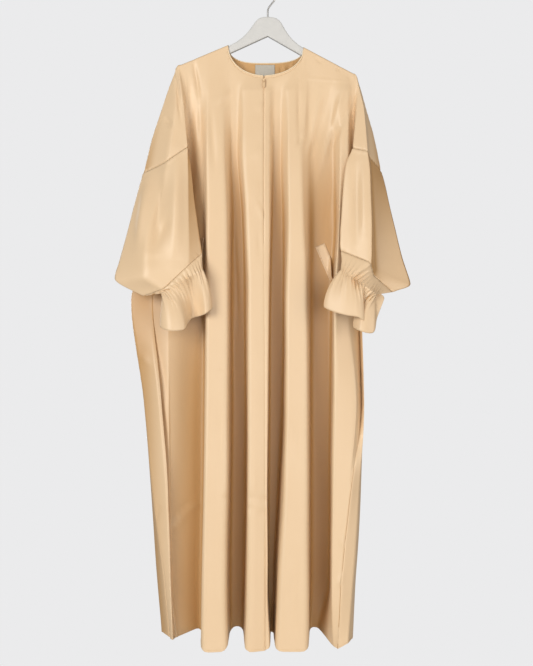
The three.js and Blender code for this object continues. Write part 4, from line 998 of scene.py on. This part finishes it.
def bar(net):
    """A closed bar from its net, as a bmesh."""
    bm = bmesh.new()
    grid_of(bm, net, bm.loops.layers.uv.new("cloth"))
    bmesh.ops.remove_doubles(bm, verts=bm.verts, dist=bar_merge)
    bmesh.ops.recalc_face_normals(bm, faces=bm.faces)
    return bm


def neck_edge(net):
    return [point for point in net[0] if neck_left - 0.5 < point[0] < neck_right + 0.5]


def mottled(name, colour, roughness, kind, pattern, tones=None, bump=None, gloss=None,
            is_on_map=False, **sockets):
    """A finish with a pattern that its tones, its relief and its roughness may follow."""
    material, shader = surface(name, colour, roughness, **sockets)
    if is_on_map:
        place = add_node(material, "ShaderNodeUVMap", {"uv_map": "cloth"}).outputs["UV"]
    else:
        place = add_node(material, "ShaderNodeTexCoord").outputs["Object"]
    share = add_node(material, kind, pattern, Vector=place).outputs["Fac"]
    if tones:
        colours = {"data_type": "RGBA", colour_a: linear(tones[0]), colour_b: linear(tones[1])}
        tone = add_node(material, "ShaderNodeMix", colours, Factor=share)
        feed(shader, {"Base Color": tone.outputs[mixed]})
    if gloss:
        limits = {"To Min": gloss[0], "To Max": gloss[1]}
        spread = add_node(material, "ShaderNodeMapRange", limits, Value=share)
        feed(shader, {"Roughness": spread.outputs["Result"]})
    if bump:
        relief = {"Strength": bump[0], "Distance": bump[1]}
        raised = add_node(material, "ShaderNodeBump", relief, Height=share)
        feed(shader, {"Normal": raised.outputs["Normal"]})
    return material


binding_half = (1.3, 1.9)
binding_lift = 0.6
binding_pitch = 2.5
body_nets = (nets[0][1], nets[3][1], nets[7][1])
neck_path = [Vector(point) + Vector((0, 0, binding_lift))
             for net in body_nets for point in neck_edge(net)]
bm_binding = bar(swept(evened(neck_path, binding_pitch), *binding_half, Vector((0, 1, 0))))
# Bias-cut satin over an edge: its yarns turn across the roll, so it is shinier, with slubs 4 mm apart.
# Its paler colour is a painted highlight along the roll.
bias_painted_highlight = mottled("bias_satin_painted_highlight", "#f2dfc2", 0.35, "ShaderNodeTexNoise", {"Scale": 260, "Detail": 2},
               tones=("#e9d2ae", "#f6e6cb"), bump=(0.2, 0.0004), is_on_map=True, Sheen_Weight=0.2)
neck_binding = piece("neck_binding", bm_binding, bias_painted_highlight)

# ---------------------------------------------------------------- woven label
# A bare woven polyester label with folded ends, sewn along its top inside the back, just below the neck
# edge, so that its lower end stands a little off the cloth.
label = {"left": -30, "right": 17, "top": 187, "bottom": 222}
label_thread = 0.5 * MM
label_columns = 24
label_rows = 18
label_ray_start = 4
label_gap = 1.8
label_wall = 0.5 * MM
label_net = []
for r in range(label_rows + 1):
    drop = mix(label["top"], label["bottom"], r / label_rows)
    row = []
    for c in range(label_columns + 1):
        x = mix(label["left"], label["right"], c / label_columns)
        back_y = body_tree.ray_cast(Vector((x, label_ray_start, -drop)), Vector((0, 1, 0)))[0].y
        curl = 0.7 * noise.noise(Vector((x / 14, drop / 18, 4))) + 0.5
        row.append((x, back_y - label_gap - curl * r / label_rows, -drop))
    label_net.append(row)


def sheet_of(net):
    """A sheet whose columns run to the right and whose rows run down, so it faces the front."""
    bm = bmesh.new()
    grid_of(bm, np.array(net), bm.loops.layers.uv.new("cloth"))
    return bm


bm_label = sheet_of(label_net)
# Taffeta-woven label tape: a matt, fine grid of threads. They are 0.1 mm apart, and drawn coarser.
woven, shader = surface("woven_polyester_label", "#c6c3ba", 0.6, Sheen_Weight=0.1)
flat_map = add_node(woven, "ShaderNodeUVMap", {"uv_map": "cloth"})
grid = add_node(
    woven, "ShaderNodeTexBrick",
    {"Scale": 1 / (label_thread * 6), "Mortar Size": 0.06, "Color1": linear("#cbc8bf"),
     "Color2": linear("#bdbab2"), "Mortar": linear("#aaa79f")},
    Vector=flat_map.outputs["UV"])
bump = add_node(woven, "ShaderNodeBump", {"Strength": 0.15, "Distance": 0.0003},
                Height=grid.outputs["Fac"])
feed(shader, {"Base Color": grid.outputs["Color"], "Normal": bump.outputs["Normal"]})
neck_label = piece("neck_label", bm_label, woven, label_wall)
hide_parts("label")

# ---------------------------------------------------------------- zip
# A fine nylon coil zip: woven tapes behind the two fronts, a narrow coil between them, and a slider with
# a small enamelled pull just below the neck.
tape = {"left": -20, "right": -2, "top": 221, "bottom": 625}
tape_row_pitch = 4
tape_columns = 9
tape_behind = 4.2
tape_bow = 0.01
tape_wall = 0.6 * MM
tape_drops = np.arange(tape["top"], tape["bottom"] + 1, tape_row_pitch)
tape_net = []
for drop in tape_drops:
    front_y = cloth_depth(centre_front, drop, reach=3)
    tape_net.append([(x, front_y + tape_behind + tape_bow * (x - centre_front) ** 2, -drop)
                     for x in np.linspace(tape["left"], tape["right"], tape_columns)])
# Zip tape is a dense twill of dull polyester: fine diagonal ribs and no shine. The ribs are 0.5 mm apart,
# too fine to show, and are drawn 2 mm apart.
twill = {"Scale": 160, "bands_direction": "DIAGONAL", "Distortion": 0.6}
tape_weave = mottled("woven_zip_tape", "#b58f63", 0.8, "ShaderNodeTexWave", twill,
                     tones=("#a88256", "#bf9a6e"), bump=(0.3, 0.0004), is_on_map=True, Sheen_Weight=0.1)
zip_tape = piece("zip_tapes", sheet_of(tape_net), tape_weave, tape_wall)
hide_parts("zip_tape")

coil_half_width = 1.4
coil_half_depth = 0.9
coil_pitch = 1.6
coil_points = 8
coil_start = 8
coil_before_tape = 1.2
coil_wire_half = 0.35
coil_steps = int((tape["bottom"] - tape["top"] - 10) / coil_pitch * coil_points)
tape_middle = [row[tape_columns // 2][1] for row in tape_net]
coil_path = []
for k in range(coil_steps):
    angle = 2 * math.pi * k / coil_points
    drop = tape["top"] + coil_start + coil_pitch * k / coil_points
    tape_y = np.interp(drop, tape_drops, tape_middle)
    coil_path.append(Vector((centre_front + coil_half_width * math.cos(angle),
                             tape_y - coil_before_tape + coil_half_depth * math.sin(angle), -drop)))
bm_coil = bar(swept(coil_path, coil_wire_half, coil_wire_half, Vector((0, 0.1, 1)), around=5))
# Nylon wire, moulded into a coil: smooth and a little translucent, so its tone wanders every 1.5 mm.
nylon = mottled("moulded_nylon", "#a9875e", 0.45, "ShaderNodeTexNoise", {"Scale": 700},
                tones=("#9a774e", "#b6956c"))
zip_coil = piece("zip_coil", bm_coil, nylon)

# Die-cast zinc under baked enamel: a clear coat's highlight over a colour with 2 mm clouds.
enamel = mottled("enamelled_zinc", "#e6c8a0", 0.38, "ShaderNodeTexNoise", {"Scale": 420, "Detail": 3},
                 tones=("#dcbb90", "#efd3ae"), gloss=(0.3, 0.5),
                 Metallic=0.2, Coat_Weight=0.4, Coat_Roughness=0.2)

sharp_edge = math.radians(50)


def finish_node(name, material, edge):
    """A new material for a solid that keeps its shape, and a small rounding of its edges."""
    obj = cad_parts[name]
    obj.data.materials.clear()
    obj.data.materials.append(material)
    bevel = obj.modifiers.new("edge", "BEVEL")
    bevel.width = edge * MM
    bevel.segments = 2
    bevel.limit_method = "ANGLE"
    bevel.angle_limit = sharp_edge


finish_node("zip_slider", enamel, 0.2)
finish_node("zip_pull", enamel, 0.2)

# ---------------------------------------------------------------- pocket welts
# A straight satin welt, interfaced and topstitched round, stands at each slanting pocket. Its right-hand
# edge is the folded lip, which stands proud of the front.
welts = {
    "left": {"start": (-147, 610), "end": (-186, 724)},
    "right": {"start": (125, 622), "end": (160, 704)},
}
welt_width = 24
welt_lanes = 16
welt_steps = 48
welt_reach = 6
welt_smoothing = 12
welt_lift = (0.2, 2)
welt_groove = 0.4
welt_ripple = 0.6
welt_ripple_pitch = 7
welt_wall = 0.9 * MM


def welt_net(start, end):
    """A welt from its start down to its end, laid on the front and bridging the folds under it."""
    along = np.array(end, float) - np.array(start)
    across = np.array((-along[1], along[0])) / np.hypot(*along)
    across = across * (1 if across[0] > 0 else -1)
    offsets = welt_width * np.linspace(-0.5, 0.5, 2 * welt_lanes + 1)
    places = [[np.array(start) + along * r / welt_steps + across * offset for offset in offsets]
              for r in range(welt_steps + 1)]
    depth = np.array([[cloth_depth(*place, reach=welt_reach) for place in row] for row in places])
    for _ in range(welt_smoothing):
        wide = np.pad(depth, 1, mode="edge")
        depth = (wide[:-2, 1:-1] + wide[2:, 1:-1] + wide[1:-1, :-2] + wide[1:-1, 2:]) / 4
    net = []
    for r in range(welt_steps + 1):
        # Its width is laid out along the cloth, so it looks narrower where it turns onto a fold.
        run = np.concatenate(([0], np.cumsum(np.hypot(np.diff(offsets), np.diff(depth[r])))))
        row = []
        for c in range(welt_lanes + 1):
            at = welt_width * c / welt_lanes
            x, drop = np.array(start) + along * r / welt_steps + across * np.interp(at, run, offsets)
            edge = min(c, welt_lanes - c, r * 2, (welt_steps - r) * 2)
            lift = mix(*welt_lift, c / welt_lanes) * clamp(0.35 + edge / 2) - welt_groove * (edge == 2)
            ripple_at = Vector((x / welt_ripple_pitch, drop / welt_ripple_pitch, 9))
            ripple = welt_ripple * noise.noise(ripple_at)
            row.append((x, np.interp(at, run, depth[r]) - lift - ripple, -drop))
        net.append(row)
    return np.array(net)


for side, welt in welts.items():
    bm_welt = sheet_of(welt_net(welt["start"], welt["end"]))
    welt_piece = piece(f"pocket_welt_{side}_satin", bm_welt, satin, welt_wall)
    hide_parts(f"pocket_welt_{side}")

# ---------------------------------------------------------------- stitches
# Lockstitches of spun polyester thread hold the hem, the neck binding and the welts. Each shows as a
# short thread that dips into the cloth at both ends.
stitch_pitch = 4.2
stitch_gap = 1.3
thread_half = 0.35
hem_stitch_row = -7
binding_stitch_drop = 6
bm_stitches = bmesh.new()
stitch_uv = bm_stitches.loops.layers.uv.new("cloth")


def stitch_row(path):
    """Short threads along the path, each sunk into the cloth at its ends."""
    length = (stitch_pitch - stitch_gap) / stitch_pitch
    for before, after in zip(path, path[1:]):
        middle = before.lerp(after, length / 2)
        normal = body_tree.find_nearest(middle)[1]
        thread_path = [before, middle + normal * thread_half, before.lerp(after, length)]
        thread_net = swept(thread_path, thread_half, thread_half, Vector((0.1, 0.2, 1)), around=5)
        grid_of(bm_stitches, thread_net, stitch_uv)


def on_cloth(place):
    near, normal = body_tree.find_nearest(Vector(place))[:2]
    return near + normal * 0.1


for name, net in nets:
    if name in ("front_left", "front_right", "back") and len(net) != len(upper_rows):
        stitch_row(evened([on_cloth(place) for place in net[hem_stitch_row]], stitch_pitch))
below_binding = Vector((0, 0, -binding_stitch_drop))
stitch_row(evened([on_cloth(place + below_binding) for place in neck_path], stitch_pitch))
for welt in welts.values():
    outline = welt_net(welt["start"], welt["end"])
    inset = [*outline[::-1, 2], *outline[1, 2:-2], *outline[:, -3]]
    stitch_row([point + Vector((0, -0.3, 0)) for point in evened(inset, stitch_pitch, 1)])
bmesh.ops.remove_doubles(bm_stitches, verts=bm_stitches.verts, dist=bar_merge)
bmesh.ops.recalc_face_normals(bm_stitches, faces=bm_stitches.faces)
# Two-ply spun polyester: dull, with the twist as light and dark turns 0.35 mm long.
thread = mottled("spun_polyester_thread", "#e0c399", 0.6, "ShaderNodeTexWave",
                 {"Scale": 900, "bands_direction": "DIAGONAL"}, tones=("#c9a878", "#e6caa2"),
                 Sheen_Weight=0.2)
piece("stitches", bm_stitches, thread)

# ---------------------------------------------------------------- hanger and hook
# A flat hanger moulded in one piece of pale grey ABS, with a bent wire hook of chromed steel pressed
# into its top. The garment's shoulders hang on its arms.
# Injection-moulded ABS: an even tone, a soft highlight, and the faint flow marks of the mould, 17 mm wide.
abs_plastic = mottled("moulded_abs", "#d0d2d3", 0.45, "ShaderNodeTexNoise", {"Scale": 60, "Detail": 4},
                      tones=("#c9cbcc", "#d6d8d9"), bump=(0.08, 0.0005), Coat_Weight=0.1)
finish_node("hanger", abs_plastic, 0.8)

hook_wire = 3.8
hook_inner = 20
hook_bend = 55
hook_end = 95
hook_join = math.radians(-48)
hook_tip = math.radians(205)
hook_radius = hook_inner + hook_wire / 2
hook_pitch = 2.5


def on_hook(angle):
    """A point on the middle of the wire, round the hook's bend."""
    return Vector((hook_radius * math.cos(angle), 0, hook_radius * math.sin(angle) - hook_inner))


hook_path = [Vector((0, 0, -mix(hook_end, hook_bend + 5, k / 8))) for k in range(9)]
hook_kink = Vector((0, 0, -hook_bend))
hook_path += [hook_kink.lerp(on_hook(hook_join), share) for share in (0.08, 0.3, 0.5, 0.7)]
hook_path += [on_hook(mix(hook_join + 0.18, hook_tip, k / 40)) for k in range(41)]
wire_half = hook_wire / 2
hook_path = evened(hook_path, hook_pitch, 3)
bm_hook = bar(swept(hook_path, wire_half, wire_half, Vector((0, 1, 0)), around=16))
# Chromed steel wire: a mirror dulled by handling, so its roughness wanders a little every 11 mm.
steel = mottled("chromed_steel", "#b9babb", 0.4, "ShaderNodeTexNoise", {"Scale": 90, "Detail": 2},
                gloss=(0.36, 0.44), Metallic=1)
hook_piece = piece("hook_wire", bm_hook, steel)
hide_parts("hook")

# ---------------------------------------------------------------- light and ground
# Soft daylight from a window on the left, a weaker one in front, a warm bounce from the right and a cool
# light behind, in a pale room, with a plain matt floor well below the hem.
light_aim = Vector((0, 0, -0.8))


def soft_light(name, place, size, power, colour):
    data = bpy.data.lights.new(name, "AREA")
    data.shape = "DISK"
    data.size = size
    data.energy = power
    data.color = linear(colour)[:3]
    light = bpy.data.objects.new(name, data)
    light.location = place
    light.rotation_euler = (light_aim - Vector(place)).to_track_quat("-Z", "Y").to_euler()
    scene.collection.objects.link(light)


soft_light("window", (-3.5, -4.8, 0.1), 3.4, 244, "#fffaf2")
soft_light("fill", (1.2, -5.3, -0.8), 3.4, 98, "#fff8f0")
soft_light("bounce", (4.2, -2.4, -0.7), 2.4, 66, "#fff2e2")
soft_light("behind", (-2.8, 4.6, 0.2), 3.0, 110, "#fbfcff")

world = bpy.data.worlds.new("room")
world.use_nodes = True
scene.world = world
background = world.node_tree.nodes["Background"]
background.inputs["Color"].default_value = linear("#eceae8")
background.inputs["Strength"].default_value = 0.2
seen = add_node(world, "ShaderNodeBackground", {"Color": linear("#ebebec")})
path = add_node(world, "ShaderNodeLightPath")
choose = add_node(world, "ShaderNodeMixShader")
feed(choose, {0: path.outputs["Is Camera Ray"], 1: background.outputs[0], 2: seen.outputs[0]})
feed(world.node_tree.nodes["World Output"], {"Surface": choose.outputs[0]})
scene.view_settings.view_transform = "Standard"

floor_drop = 2.2
floor_radius = 1.25
bm_floor = bmesh.new()
bmesh.ops.create_circle(bm_floor, cap_ends=True, segments=96, radius=floor_radius,
                        matrix=Matrix.Translation((0, 0, -floor_drop)))
floor_mesh = bpy.data.meshes.new("floor")
bm_floor.to_mesh(floor_mesh)
floor = bpy.data.objects.new("floor", floor_mesh)
scene.collection.objects.link(floor)
# Matt floor paint: an even, pale grey with faint clouds 70 mm wide.
floor_paint = mottled("matt_floor_paint", "#dcdbd8", 0.7, "ShaderNodeTexNoise", {"Scale": 14, "Detail": 4},
                      tones=("#d8d7d4", "#dfdedb"))
floor_mesh.materials.append(floor_paint)
